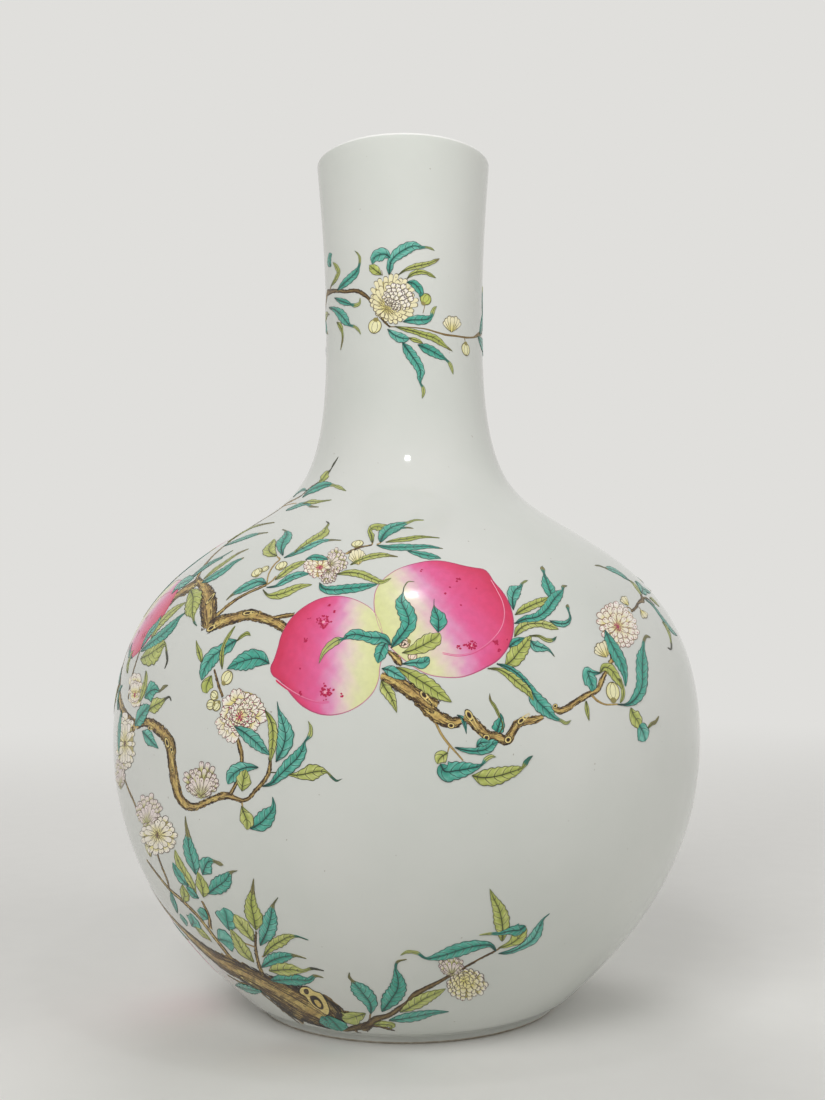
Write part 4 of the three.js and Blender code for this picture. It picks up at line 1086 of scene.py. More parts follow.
def hair(ink, turn, arc, widths, lift, colour):
    """A short drawn line through a few places, with a width at each."""
    track = np.column_stack((turn, arc, np.ones(len(turn))))
    turns, arcs = beside(track, np.asarray(widths)[:, None] / 2 * np.array((-1, 1)))
    ink.net(turns, arcs, np.broadcast_to(np.reshape(lift, (-1, 1)), turns.shape), colour)


def leaf_lines(ink, rows, at, half, lift, kind, veined):
    """The drawn edge, midrib and side veins of a leaf, which has veins as far as stated."""
    vein_colour = LEAF_COLOURS[kind]["vein"]
    inward = np.minimum(EDGE_WIDTH, half)[:, None] * (1 - EDGE_RINGS)
    edge_lifts = EDGE_LIFTS @ (lift, LINE_LIFT)
    for side in (-1, 1):
        turn, arc = beside(rows, side * (half[:, None] - inward))
        ink.net(turn, arc, edge_lifts, mixed(vein_colour, EDGE_SEPIA, np.full(turn.shape, 0.5)))
    width = np.interp(at / at[-1], *MIDRIB_TAPER) * MIDRIB_WIDTH
    hair(ink, rows[:, 0], rows[:, 1], width, lift + LEAF_CROWN + LINE_LIFT, vein_colour)
    share = np.linspace(0, VEIN_RUN, VEIN_POINTS)
    bow = VEIN_LEAN * (VEIN_BOW[0] * share + VEIN_BOW[1] * share ** 2)
    lifts = lift + LEAF_CROWN * (1 - share ** 2) + LINE_LIFT
    for number, start in enumerate(np.arange(VEIN_SPACING * FIRST_VEIN, veined, VEIN_SPACING)):
        reach = np.interp(start, at, half)
        if reach * 2 < LEAST_VEINED_WIDTH:
            continue
        for side in (-1, 1):
            along = start + (number % 2) * side * VEIN_OFFSET + reach * bow
            if along[-1] > at[-1]:
                continue
            turn, arc = off_the_midrib(rows, at, along, side * share * np.interp(along, at, half))
            hair(ink, turn, arc, VEIN_WIDTH * np.linspace(1, 0.5, VEIN_POINTS), lifts, vein_colour)


def leaf(group, kind, tip, track, layer, place="among"):
    """A leaf along its midrib's track. A curled tip is its colour's name and how many points it has."""
    rows, at = smoothed(track, LEAF_ROW)
    lift = {"under": LEAF_UNDER_LIFT, "among": LEAF_LIFT + LAYER_LIFT * (layer % LAYER_COUNT),
            "over": LEAF_LIFT + LAYER_LIFT * LAYER_COUNT}[place]
    veined = at[-1] * VEINED_SHARE
    if tip:
        tip_kind, tip_count = tip
        tip_point = len(track) - tip_count - TIP_SET_BACK
        veined = np.interp(tip_point, np.arange(len(track)), distances(track))
        tip = (TIP_COLOURS[tip_kind], veined)
    random_source = random.Random(layer * LEAF_SEED + len(track))
    half = leaf_blade(group[kind + "_leaves"], rows, at, lift, kind, tip, random_source)
    leaf_lines(group["lines"], rows, at, half, lift, kind, veined)


# Shape of a leaf that isn't traced: shares of its length, and its width there
GROWN_SHARES = (0, 0.22, 0.45, 0.68, 0.86, 1)
GROWN_WIDTHS = (0.12, 0.74, 1, 0.66, 0.2, 0.05)
LIME_TIP_EVERY = 3


def grown_leaf(group, turn, arc, heading, length, width, bend, kind, layer):
    """A leaf from its stalk, with the heading that it leaves at and how far that bends, in degrees."""
    x = y = 0.0
    track = [(turn, arc, GROWN_WIDTHS[0] * width)]
    for start, end, share in zip(GROWN_SHARES, GROWN_SHARES[1:], GROWN_WIDTHS[1:]):
        course = math.radians(heading + bend * (start + end) / 2)
        x += (end - start) * length * math.cos(course)
        y += (end - start) * length * math.sin(course)
        track.append((turn + x / radius_at(arc), arc + y, share * width))
    tip_kind = "lime" if kind == "green" and layer % LIME_TIP_EVERY == 0 else "olive"
    leaf(group, kind, (tip_kind, 2), np.array(track), layer)


# Boughs and the trunk

BARK_GOLD = linear(222, 194, 112)
BARK_PALE = linear(236, 214, 138)
BARK_TAN = linear(194, 160, 98)
BARK_DARK = linear(84, 60, 34)
BARK_DEEP = linear(42, 30, 24)
BARK_ROW = 0.6
BARK_ACROSS = np.array((-1, -0.93, -0.78, -0.5, -0.2, 0.1, 0.4, 0.7, 0.9, 1))
BARK_RIM = 0.08
BARK_ENDS = 0.7
RAISED_BOUGH = 0.12

# Widths in mm: from which a bough has hairs, up to which a twig is thin and dark, from which it isn't dark
# any more, and from which a bough is thick
HAIRY_BOUGH = 1.5
THIN_TWIG = 1.6
BARE_TWIG = 3.2
THICK_BOUGH = 5

# How uneven a bough's edges are, thin and thick, and how long their waves and the bark's streaks are
UNEVENNESS = (0.05, 0.09)
LONG_WAVE = 2.6
SHORT_WAVE = 0.9
SHORT_WAVE_SHARE = 0.8
STREAK_LENGTH = 4.5
FLECK_LENGTH = 1.1

# Colours of the bark: how far it is gold and how much that changes with the streaks, the strength of pale
# streaks, dark flecks and of both at the dark edges, how much painted shade darkens a dark spray all over,
# and how dark a thin twig is all over
GOLD_SHARE = 0.55
GOLD_STREAKS = 0.75
PALE_STREAKS = 0.6
PALE_SPAN = (0.1, 0.9)
DARK_FLECKS = 0.7
FLECK_SPAN = (0.25, 0.9)
DARK_EDGE_SPAN = (0.6, 1.08)
EDGE_STREAKS = 0.22
FINE_DARKENING = 0.2
SPRAY_PAINTED_SHADE = 0.7
DARK_TWIG = 0.35

# Hairs: the ink's area for each, the margin that it covers beside the bough, the width from which they
# are coarser, how little ink coarse ones get, and the edge's share where the short dark ones lie
HAIR_AREA = 0.9
HAIR_MARGIN = 1.6
COARSE_BARK = 8.0
COARSE_THINNING = 0.8
HAIR_EDGE = 1.02
HAIR_SPREAD = (0.3, 0.06)
LEAST_HAIR_EDGE = 0.1
OUTER_HAIR = 0.72
OUTER_LENGTHS = (0.9, 2.0)
INNER_LENGTHS = (1.8, 4.6)
OUTER_LEAN = (-0.4, 0.9)
INNER_LEAN = (0, 0.3)
HAIR_WIDTHS = (0.2, 0.4)
HAIR_TAPER = np.array((0.6, 1, 0.3))
HAIR_RUN = np.array((0, 0.5, 1.0))


def wobble(at, scale, random_source):
    """Smooth seeded unevenness along a stroke, about -1 to 1."""
    count = max(4, int(at[-1] / scale) + 3)
    values = [random_source.uniform(-1, 1) for _ in range(count)]
    return np.interp(at, np.linspace(0, at[-1], count), values)


def mottling(at, length, across, random_source):
    """Seeded unevenness along each of a stroke's columns."""
    return np.column_stack([wobble(at, length, random_source) for _ in across])


def bough_stroke(group, track, seed, raised=False, dark=False):
    """A bough along its track: streaked gold, with dark uneven edges and bark hairs."""
    random_source = random.Random(seed)
    rows, at = smoothed(track, BARK_ROW)
    width = rows[:, 2]
    thick = smoothstep(THIN_TWIG, THICK_BOUGH, width)
    left, right = [
        1 + (UNEVENNESS[0] + UNEVENNESS[1] * thick) * (
            wobble(at, LONG_WAVE, random_source) + SHORT_WAVE_SHARE * wobble(at, SHORT_WAVE, random_source))
        for _ in range(2)]
    half = np.where(BARK_ACROSS[None, :] < 0, left[:, None], right[:, None])
    half = half * rounded(at, width / 2, BARK_ENDS)[:, None]
    turn, arc = beside(rows, half * BARK_ACROSS)
    top = BOUGH_LIFT + (RAISED_BOUGH if raised else 0)
    streak = mottling(at, STREAK_LENGTH, BARK_ACROSS, random_source)
    fine = mottling(at, FLECK_LENGTH, BARK_ACROSS, random_source)
    colour = mixed(BARK_TAN, BARK_GOLD, GOLD_SHARE + GOLD_STREAKS * streak)
    colour = mixed(colour, BARK_PALE, PALE_STREAKS * smoothstep(*PALE_SPAN, streak))
    colour = mixed(colour, BARK_DARK, DARK_FLECKS * smoothstep(*FLECK_SPAN, -fine) * thick[:, None])
    dark_edge = smoothstep(*DARK_EDGE_SPAN, np.abs(BARK_ACROSS)[None, :] + EDGE_STREAKS * streak)
    colour = mixed(colour, BARK_DARK, dark_edge + FINE_DARKENING * fine)
    thin = 1 - smoothstep(THIN_TWIG, BARE_TWIG, width)
    # A dark spray's bark is darkened all over by painted shade; thin twigs are darker in their own colour
    spray_shade_and_twig_darkening = np.maximum(SPRAY_PAINTED_SHADE if dark else 0, DARK_TWIG * thin)
    colour = mixed(colour, BARK_DARK, spray_shade_and_twig_darkening[:, None] * np.ones_like(streak))
    group["bark"].net(turn, arc, domed(BARK_ACROSS, BARK_RIM, top, BOUGH_CROWN), colour)
    if np.median(width) > HAIRY_BOUGH:
        bark_hairs(group["lines"], rows, at, top, random_source)


def bark_hairs(ink, rows, at, top, random_source):
    """Dark brush hairs along a bough: short and leaning at its edges, longer and sparser inside."""
    coarseness = np.maximum(1, rows[:, 2] / COARSE_BARK)
    inked = (rows[:, 2] + HAIR_MARGIN) / coarseness ** COARSE_THINNING
    area = np.concatenate(((0,), np.cumsum((inked[1:] + inked[:-1]) / 2 * np.diff(at))))
    for _ in range(int(area[-1] / HAIR_AREA)):
        start = np.interp(random_source.uniform(0, area[-1]), area, at)
        coarse = np.interp(start, at, coarseness)
        side = random_source.choice((-1, 1))
        edge = HAIR_EDGE - abs(random_source.gauss(0, HAIR_SPREAD[0] + HAIR_SPREAD[1] * coarse))
        if edge < LEAST_HAIR_EDGE:
            continue
        outer = edge > OUTER_HAIR
        length = coarse * random_source.uniform(*(OUTER_LENGTHS if outer else INNER_LENGTHS))
        least, most = OUTER_LEAN if outer else INNER_LEAN
        lean = random_source.uniform(least, most * coarse)
        along = np.minimum(start + HAIR_RUN * length, at[-1])
        reach = side * (edge * np.interp(along, at, rows[:, 2]) / 2 - HAIR_RUN * lean)
        turn, arc = off_the_midrib(rows, at, along, reach)
        widths = HAIR_TAPER * random_source.uniform(*HAIR_WIDTHS) * coarse ** 0.5
        hair(ink, turn, arc, widths, top + BOUGH_CROWN + LINE_LIFT, BARK_DEEP if outer else BARK_DARK)


def disc(enamel, turn, arc, half_length, half_width, tilt, lift, colour, sides=DISC_SIDES):
    """A small ellipse of enamel, a little lower at its rim."""
    angle = circle(sides)
    turns, arcs = moved(turn, arc, half_length * np.cos(angle), half_width * np.sin(angle), tilt)
    inner = FILL_RINGS[:, None]
    enamel.net(turn + (turns - turn) * inner, arc + (arcs - arc) * inner, lift - DISC_BOW * inner ** 2,
               colour, closed=True)


# Knots and the scar: shares of their outline and the colour inside each, from the outside in
KNOT_RINGS = ((1.22, BARK_DEEP), (1.0, BARK_PALE), (0.62, BARK_DARK), (0.4, BARK_DEEP))
KNOT_LIFT = 0.03
KNOT_TAIL_START = 0.7
KNOT_TAIL_SPREAD = (0.7, 0.25)
KNOT_TAIL_WIDTHS = (0.6, 0.2)
KNOT_TAIL_POINTS = 5
SCAR_STEP = 0.02
SCAR_SAMPLES = 40
SCAR_RINGS = (
    ((1.1, BARK_DEEP), (1, BARK_PALE)),
    ((1, BARK_DEEP), (0.7, BARK_DARK)),
    ((1, BARK_DARK), (0.86, BARK_DEEP)),
    ((1, BARK_GOLD),),
)


def knot(group, ground, spec):
    """A knot in the bark: a pale loop round a dark eye, drawn out into a tail along the bough."""
    x, y, half_length, half_width, tilt, tail = spec
    angle = math.radians(tilt)
    turn, arc = ground.at(x, y)
    scale = ground.scale(turn, arc)
    length, width = half_length * scale, half_width * scale
    top = BOUGH_LIFT + BOUGH_CROWN + RAISED_BOUGH
    for layer, (grown, colour) in enumerate(KNOT_RINGS):
        disc(group["bark"], turn, arc, length * grown, width * grown, angle, top + KNOT_LIFT * layer, colour)
    if tail:
        run = np.linspace(KNOT_TAIL_START, 1 + tail, KNOT_TAIL_POINTS) * length
        widths = np.linspace(*KNOT_TAIL_WIDTHS, KNOT_TAIL_POINTS)
        for side in (-1, 1):
            across = side * width * np.linspace(*KNOT_TAIL_SPREAD, KNOT_TAIL_POINTS)
            tail_places = moved(turn, arc, run, across, angle)
            hair(group["bark"], *tail_places, widths, top + KNOT_LIFT, BARK_PALE)


def scar(group, ground, outlines):
    """The pale scar where the trunk was cut and its holes: rings of colour inside each outline in turn."""
    lift = BOUGH_LIFT + BOUGH_CROWN
    for outline, rings in zip(outlines, SCAR_RINGS):
        loop = closed_curve(outline, SCAR_SAMPLES)
        middle = loop.mean(axis=0)
        for grown, colour in rings:
            lift += SCAR_STEP
            spots = middle + (loop - middle) * (FILL_RINGS * grown)[:, None, None]
            turn, arc = ground.at(*np.moveaxis(spots, -1, 0))
            group["bark"].net(turn, arc, lift, colour, closed=True)


# Blossoms and buds

BUD_SWELL = 1.1
PETAL_WHITE = linear(250, 243, 236)
PETAL_CREAM = linear(242, 234, 198)
PETAL_YELLOW = linear(234, 222, 138)
PETAL_GREEN = linear(200, 200, 126)
PETAL_BLUSH = linear(240, 226, 224)
MAGENTA = linear(184, 36, 100)
PLUM = linear(116, 40, 74)
UMBER = linear(92, 50, 44)
PETAL_ROWS = np.linspace(0, 1, 7)[:, None]
PETAL_ACROSS = np.sin(np.linspace(-math.pi / 2, math.pi / 2, 9))
PETAL_FOOT_WIDTH = 0.25
PETAL_WIDEST = 0.75
PETAL_ROUNDNESS = 0.5
MOST_ROUNDNESS = 0.6
PETAL_COLOUR_SPAN = (0.15, 0.75)
PETAL_LINE = 0.44
PETAL_LINE_LIFT = LINE_LIFT * 0.5
LEAST_REACH = 0.1
MOST_LINE_SHARE = 0.5
SEAM_ROWS = (6, 5, 4, 3)
SEAM_TAPER = np.array((0.9, 0.7, 0.6, 0.3))
MARK_ROWS = (5, 6)
MARK_FLATNESS = 0.6
PETAL_LAYER = 0.02
PETAL_STAGGER = 0.006
LOBE_DEPTH = 0.16
SHORTEST_PETAL = 0.3

# A blossom's ground of colour: points round it, its rings, how much of it is the outline's colour, its lift
UNDER_POINTS = 28
UNDER_RINGS = np.array((0.02, 0.5, 0.86))
UNDER_PALENESS = 0.55
UNDER_LIFT = -0.01

# How uneven petals are: their angle as a share of their spacing, reach, length, paleness and marks
PETAL_SWAY = 0.14
PETAL_REACHES = (0.88, 1.06)
PETAL_LENGTHS = (0.95, 1.05)
PETAL_PALENESS = 0.2
MARK_SIZES = (0.42, 0.62)

# Blossoms smaller than the full size, in mm, have fewer petals and finer lines, down to a least share
FULL_BLOSSOM = 13
LEAST_FULLNESS = 0.5
COUNT_POWER = 0.7
LINE_POWER = 0.5

STAMENS = 9
STAMEN_REACH = 0.2
STAMEN_SWAY = 0.2
STAMEN_LENGTHS = (0.75, 1.1)
STAMEN_RUN = np.array((0.05, 0.55, 1))
STAMEN_WIDTHS = (0.5, 0.34, 0.34)
STAMEN_DOT = (0.5, 0.42)
STAMEN_DOT_LIFT = LINE_LIFT * 1.5
SMALL_DISC_SIDES = 8

# Kinds of blossom: the focus that its petals point away from, as a share of its half size, and its rows
# of petals from the rim inwards: how far the tips reach, how many they are, how long, how crowded, and
# how many lobes each has. Then the colours of its feet, tips, outlines and marks, how many petals are
# marked, how yellow its heart is, whether it shows its stamens, and its layers over or under the others.
ROSE_COLOURS = (PETAL_YELLOW, PETAL_WHITE, linear(106, 74, 60), MAGENTA)
BLOSSOMS = {
    "rose": ((-0.2, 0.3), ((1.0, 12, 0.5, 1.15, 2), (0.7, 10, 0.4, 1.15, 2), (0.52, 6, 0.5, 1.1, 3)),
             ROSE_COLOURS, 1.0, 0.1, True, 0),
    "collar": ((0.6, -0.7), ((1.0, 11, 0.5, 1.15, 2), (0.76, 9, 0.7, 1.15, 2)),
               ROSE_COLOURS, 1.0, 0.1, False, -3),
    "star": ((-0.08, 0.04), ((1.0, 22, 0.5, 0.84, 1), (0.8, 17, 0.52, 0.8, 1), (0.56, 11, 0.54, 0.72, 1)),
             (PETAL_YELLOW, PETAL_WHITE, linear(140, 92, 76), MAGENTA), 0.85, 0.35, True, 0),
    "daisy": ((-0.05, 0.02), ((1.0, 20, 0.42, 0.85, 1), (0.76, 15, 0.74, 0.75, 1)),
              (PETAL_YELLOW, PETAL_WHITE, linear(84, 68, 54), UMBER), 0.7, 0.1, True, 0),
    "skirt": ((-0.27, 0.38), ((1.0, 26, 0.7, 0.74, 1), (0.82, 20, 0.82, 0.74, 1)),
              (PETAL_YELLOW, PETAL_CREAM, linear(74, 50, 36), UMBER), 0.2, 0.7, False, 0),
    "cap": ((-0.5, 0.62), ((1.0, 19, 0.26, 0.95, 1), (0.82, 17, 0.26, 0.95, 1), (0.64, 14, 0.26, 0.95, 1),
                           (0.46, 10, 0.26, 0.95, 1), (0.28, 6, 0.28, 0.95, 1)),
            (PETAL_CREAM, PETAL_WHITE, linear(66, 46, 38), UMBER), 0.8, 0.3, False, 4),
    "dome": ((-0.1, -0.3), ((1.0, 24, 0.28, 0.92, 1), (0.82, 19, 0.3, 0.92, 1), (0.62, 12, 0.32, 0.95, 1),
                            (0.42, 7, 0.4, 1, 1)),
             (PETAL_YELLOW, PETAL_WHITE, linear(84, 62, 48), PLUM), 0.6, 1.1, False, 0),
    "fan": ((0.04, 1.12), ((1.0, 22, 0.3, 0.8, 1), (0.83, 20, 0.3, 0.8, 1), (0.66, 16, 0.66, 0.72, 1)),
            (PETAL_GREEN, PETAL_BLUSH, linear(96, 70, 62), PLUM), 0.9, 0, False, 0),
}


def petal(group, ground, foot, tip, width, lift, colours, lobes=1, line_width=PETAL_LINE):
    """One petal from its foot to its round tip, both on its ground. Its colours: foot, tip, outline."""
    along = tip - foot
    length = max(np.linalg.norm(along), TINY)
    side = np.array((-along[1], along[0])) / length
    swell = np.sin(math.pi / 2 * np.clip(PETAL_ROWS / PETAL_WIDEST, 0, 1))
    half = (PETAL_FOOT_WIDTH + (1 - PETAL_FOOT_WIDTH) * swell) * width / 2 * PETAL_ACROSS
    roundness = min(MOST_ROUNDNESS, PETAL_ROUNDNESS * width / length)
    ahead = 1 - roundness * (1 - np.sqrt(1 - PETAL_ACROSS ** 2))
    if lobes > 1:
        ahead = ahead - LOBE_DEPTH * (1 - np.abs(np.sin(math.pi * lobes * (PETAL_ACROSS + 1) / 2)))
    ahead = PETAL_ROWS * ahead
    x = foot[0] + ahead * along[0] + side[0] * half
    y = foot[1] + ahead * along[1] + side[1] * half
    turn, arc = ground.at(x, y)
    foot_colour, tip_colour, edge_colour = colours
    share = smoothstep(*PETAL_COLOUR_SPAN, PETAL_ROWS * np.ones_like(PETAL_ACROSS))
    group["petals"].net(turn, arc, lift, mixed(foot_colour, tip_colour, share))
    edge_turn, edge_arc = (
        np.concatenate((net[:, 0], net[-1, 1:], net[-2::-1, -1])) for net in (turn, arc))
    middle_turn, middle_arc = turn.mean(), arc.mean()
    reach = np.hypot((edge_turn - middle_turn) * radius_at(middle_arc), edge_arc - middle_arc)
    inner = 1 - np.minimum(line_width / np.maximum(reach, LEAST_REACH), MOST_LINE_SHARE)
    both = np.column_stack((np.ones_like(inner), inner))
    turns = middle_turn + (edge_turn - middle_turn)[:, None] * both
    arcs = middle_arc + (edge_arc - middle_arc)[:, None] * both
    group["lines"].net(turns, arcs, lift + PETAL_LINE_LIFT, edge_colour)
    for number in range(1, lobes):
        seam = on_petal(turn, arc, -1 + 2 * number / lobes, SEAM_ROWS)
        hair(group["lines"], *seam, line_width * SEAM_TAPER, lift + PETAL_LINE_LIFT, edge_colour)
    return turn, arc


def on_petal(turn, arc, across, rows):
    """Turns and arc lengths on a petal's rows at a place across it, from -1 to 1."""
    return [np.array([np.interp(across, PETAL_ACROSS, net[row]) for row in rows]) for net in (turn, arc)]


def petal_mark(group, turn, arc, across, lift, size, colour):
    """A short stroke near a petal's tip, along it."""
    turns, arcs = on_petal(turn, arc, across, MARK_ROWS)
    tilt = math.atan2(arcs[1] - arcs[0], (turns[1] - turns[0]) * radius_at(arcs[0]))
    disc(group["lines"], turns[0], arcs[0], size, size * MARK_FLATNESS, tilt, lift + LINE_LIFT, colour,
         SMALL_DISC_SIDES)


def blossom(group, ground, spec, seed):
    """A double blossom: rows of petals that point away from its focus, the inner ones over the outer."""
    x, y, half_width, half_height, tilt, kind = spec
    focus, rows, colours, marked, heart, open_eye, layers = BLOSSOMS[kind]
    foot_colour, tip_colour, edge_colour, mark_colour = colours
    random_source = random.Random(seed)
    c, s = math.cos(math.radians(tilt)), math.sin(math.radians(tilt))

    def place(spot):
        across, down = spot[..., 0] * half_width, spot[..., 1] * half_height
        return np.stack((x + across * c - down * s, y + across * s + down * c), axis=-1)

    focus = np.array(focus)
    size = math.sqrt(half_width * half_height)
    angle = circle(UNDER_POINTS)
    rim = focus + (np.column_stack((np.cos(angle), np.sin(angle))) - focus) * UNDER_RINGS[:, None, None]
    under_turn, under_arc = ground.at(*np.moveaxis(place(rim), -1, 0))
    under = mixed(edge_colour, foot_colour, np.full(under_turn.shape, UNDER_PALENESS))
    lift = PETAL_LIFT + PETAL_LAYER * layers
    group["petals"].net(under_turn, under_arc, lift + UNDER_LIFT, under, closed=True)
    fullness = size * ground.scale(under_turn.mean(), under_arc.mean()) / FULL_BLOSSOM
    fullness = min(1, max(LEAST_FULLNESS, fullness))
    finer = fullness ** LINE_POWER
    for reach, count, length, crowding, lobes in rows:
        count = round(count * fullness ** COUNT_POWER)
        for number in range(count):
            sway = random_source.uniform(-PETAL_SWAY, PETAL_SWAY)
            angle = FULL_TURN * (number + 0.5 * (count % 2) + sway) / count
            out = np.array((math.cos(angle), math.sin(angle))) - focus
            if np.linalg.norm(out) < SHORTEST_PETAL:
                continue
            far = reach * random_source.uniform(*PETAL_REACHES)
            tip = focus + far * out
            foot = focus + (far - length * random_source.uniform(*PETAL_LENGTHS)) * out
            yellow = random_source.uniform(0, PETAL_PALENESS) + heart * (1 - reach)
            petal_colours = (foot_colour, mixed(tip_colour, foot_colour, np.array(yellow)), edge_colour)
            width = FULL_TURN * reach / count * crowding * size
            layer = lift + PETAL_STAGGER * (number % 2)
            turn, arc = petal(group, ground, place(foot), place(tip), width, layer, petal_colours, lobes,
                              PETAL_LINE * finer)
            if random_source.random() > marked:
                continue
            mark = random_source.uniform(*MARK_SIZES) * finer
            for lobe in range(lobes):
                petal_mark(group, turn, arc, (2 * lobe + 1) / lobes - 1, layer, mark, mark_colour)
        lift += PETAL_LAYER
    if open_eye:
        stamens(group, ground, place(focus), size * STAMEN_REACH, lift, mark_colour, random_source)


def stamens(group, ground, middle, reach, lift, colour, random_source):
    """Short strokes out from the middle of a blossom, each with a dot at its end."""
    turn, arc = ground.at(*middle)
    reach = reach * ground.scale(turn, arc)
    for number in range(STAMENS):
        angle = FULL_TURN * number / STAMENS + random_source.uniform(-STAMEN_SWAY, STAMEN_SWAY)
        run = STAMEN_RUN * reach * random_source.uniform(*STAMEN_LENGTHS)
        turns, arcs = moved(turn, arc, run, 0, angle)
        hair(group["lines"], turns, arcs, STAMEN_WIDTHS, lift + LINE_LIFT, colour)
        disc(group["lines"], turns[-1], arcs[-1], *STAMEN_DOT, angle, lift + STAMEN_DOT_LIFT, colour,
             SMALL_DISC_SIDES)


# Buds: colours of a closed bud's middle and rim, and an opening bud's petals as spread, reach and width
BUD_COLOURS = {
    "blush": (linear(248, 226, 206), linear(232, 184, 150)),
    "round": (linear(243, 239, 192), linear(228, 220, 146)),
    "lime": (linear(196, 204, 110), linear(160, 176, 84)),
}
BUD_EDGE = linear(88, 76, 46)
BUD_CALYX = linear(150, 140, 84)
CALYX_SIZE = (0.3, 0.42)
CALYX_SIDES = 10
CALYX_LIFT = PETAL_LIFT + LINE_LIFT * 2
BUD_POINTS = 20
BUD_SHAPE = (0.98, 0.06)
BUD_FOOT = 0.9

# The two seams of a closed bud: where they start and end, points, how far they bow, and their width
SEAM_SPAN = (0.96, -0.8)
SEAM_POINTS = 6
SEAM_BOW = 0.42
SEAM_ROUNDNESS = 0.7
SEAM_WIDTHS = (0.34, 0.2)
OPENING_BUDS = {
    "open": ((-0.7, 1.5, 0.5), (0.7, 1.5, 0.5), (-0.46, 1.7, 0.5), (0.46, 1.7, 0.5), (-0.22, 1.85, 0.5),
             (0.22, 1.85, 0.5), (0, 1.75, 0.5)),
    "spike": ((-0.24, 1.7, 0.6), (0.24, 1.7, 0.6), (0, 1.9, 0.6)),
}


def bud(group, ground, spec):
    """A closed bud as a plump round with its petals' seams, or a few petals that open from one foot."""
    x, y, radius, kind, facing = spec
    radius *= BUD_SWELL
    facing = math.radians(facing)
    if kind in OPENING_BUDS:
        foot = np.array((x - BUD_FOOT * radius * math.cos(facing), y + BUD_FOOT * radius * math.sin(facing)))
        for number, (spread, reach, width) in enumerate(OPENING_BUDS[kind]):
            out = np.array((math.cos(facing + spread), -math.sin(facing + spread))) * reach * radius
            petal(group, ground, foot, foot + out, radius * width, PETAL_LIFT + PETAL_LAYER * number,
                  (PETAL_YELLOW, PETAL_CREAM, BUD_EDGE))
        return
    turn, arc = ground.at(x, y)
    size = radius * ground.scale(turn, arc)

    def at(ahead, across):
        return moved(turn, arc, ahead * size, across * size, facing)

    def outlines(angle, shares):
        width = BUD_SHAPE[0] - BUD_SHAPE[1] * np.cos(angle)
        return at(shares * np.cos(angle), shares * width * np.sin(angle))

    middle, rim = BUD_COLOURS[kind]
    angle = circle(BUD_POINTS)
    group["petals"].net(*outlines(angle, FILL_RINGS[:, None]), PETAL_LIFT,
                        np.array((middle, middle, rim))[:, None, :], closed=True)
    loop = np.append(angle, angle[0])[:, None]
    group["lines"].net(*outlines(loop, np.array((1, 1 - PETAL_LINE / max(size, 1)))),
                       PETAL_LIFT + LINE_LIFT, BUD_EDGE)
    run = np.linspace(*SEAM_SPAN, SEAM_POINTS)
    passed = (SEAM_SPAN[0] - run) / (SEAM_SPAN[0] - SEAM_SPAN[1])
    for side in (-1, 1):
        bow = side * SEAM_BOW * np.sin(math.pi * np.clip(passed, 0, 1)) ** SEAM_ROUNDNESS
        hair(group["lines"], *at(run, bow), np.linspace(*SEAM_WIDTHS, SEAM_POINTS), PETAL_LIFT + LINE_LIFT,
             BUD_EDGE)
    calyx_length, calyx_width = (share * size for share in CALYX_SIZE)
    disc(group["petals"], *at(-BUD_FOOT, 0), calyx_length, calyx_width, facing, CALYX_LIFT, BUD_CALYX,
         CALYX_SIDES)


# Peaches

PEACH_STOPS = (0, 0.22, 0.44, 0.56, 0.66, 0.78, 1)
PEACH_RAMP = np.array((
    linear(212, 52, 92), linear(224, 70, 118), linear(230, 98, 154), linear(228, 152, 192),
    linear(232, 208, 202), linear(228, 228, 176), linear(220, 224, 154)))
PEACH_EDGE = (linear(190, 70, 116), linear(206, 130, 158))
PEACH_CLEFT = linear(248, 168, 190)
PEACH_CRIMSON = linear(206, 34, 78)
PEACH_DOT = linear(186, 22, 76)
PEACH_RINGS = np.array((0.03, 0.1, 0.2, 0.3, 0.4, 0.5, 0.6, 0.7, 0.79, 0.87, 0.93, 0.97, 0.99, 1))
PEACH_SAMPLES = 112
PEACH_RIM = 0.02

# Two waves of brushing over the blush: strength, and how fast each goes across and up
CROSSED_WAVE = (0.02, 0.9, 0.7)
SLANTED_WAVE = (0.015, 0.31, 0.4)

# The blush deepens towards the rim, where it hasn't faded: how much, and over which rings and blush
RIM_BLUSH = 0.14
RIM_BLUSH_SPAN = (0.75, 1.0)
BLUSHED_SPAN = (0.7, 0.3)

# The outline's rings as shares of the peach, how much thinner it is where the blush has faded
OUTLINE_START = 1.002
OUTLINE_RINGS = np.array((0, 0.012, 0.021))
OUTLINE_THINNING = 0.35
FADED_SPAN = (0.35, 0.85)

# The cleft's shadow and light: width, lift over the crown, and share of the width at both ends
CLEFT_SHADOW = (1.1, 0.006, (1, 0.3))
CLEFT_LIGHT = (0.5, 0.012, (1, 0.6))
CLEFT_SHADOW_DROP = 0.7
CLEFT_TRACE_WIDTH = 6

# Stippled dots: how large, and how they crowd round their cluster's middle. A cluster of many leaves a
# bruise bare
DOT_SIZES = (0.34, 0.8)
DOT_CROWDING = (0.36, 0.3)
DOT_FLATNESS = 0.8
DOT_LIFT = 0.024
DOT_SIDES = 7
DOT_TURN = 9
BRUISED_COUNT = 40
BRUISE_SHARE = 0.2
BRUISE_LIFT = 0.014
BRUISE_SIDES = 12


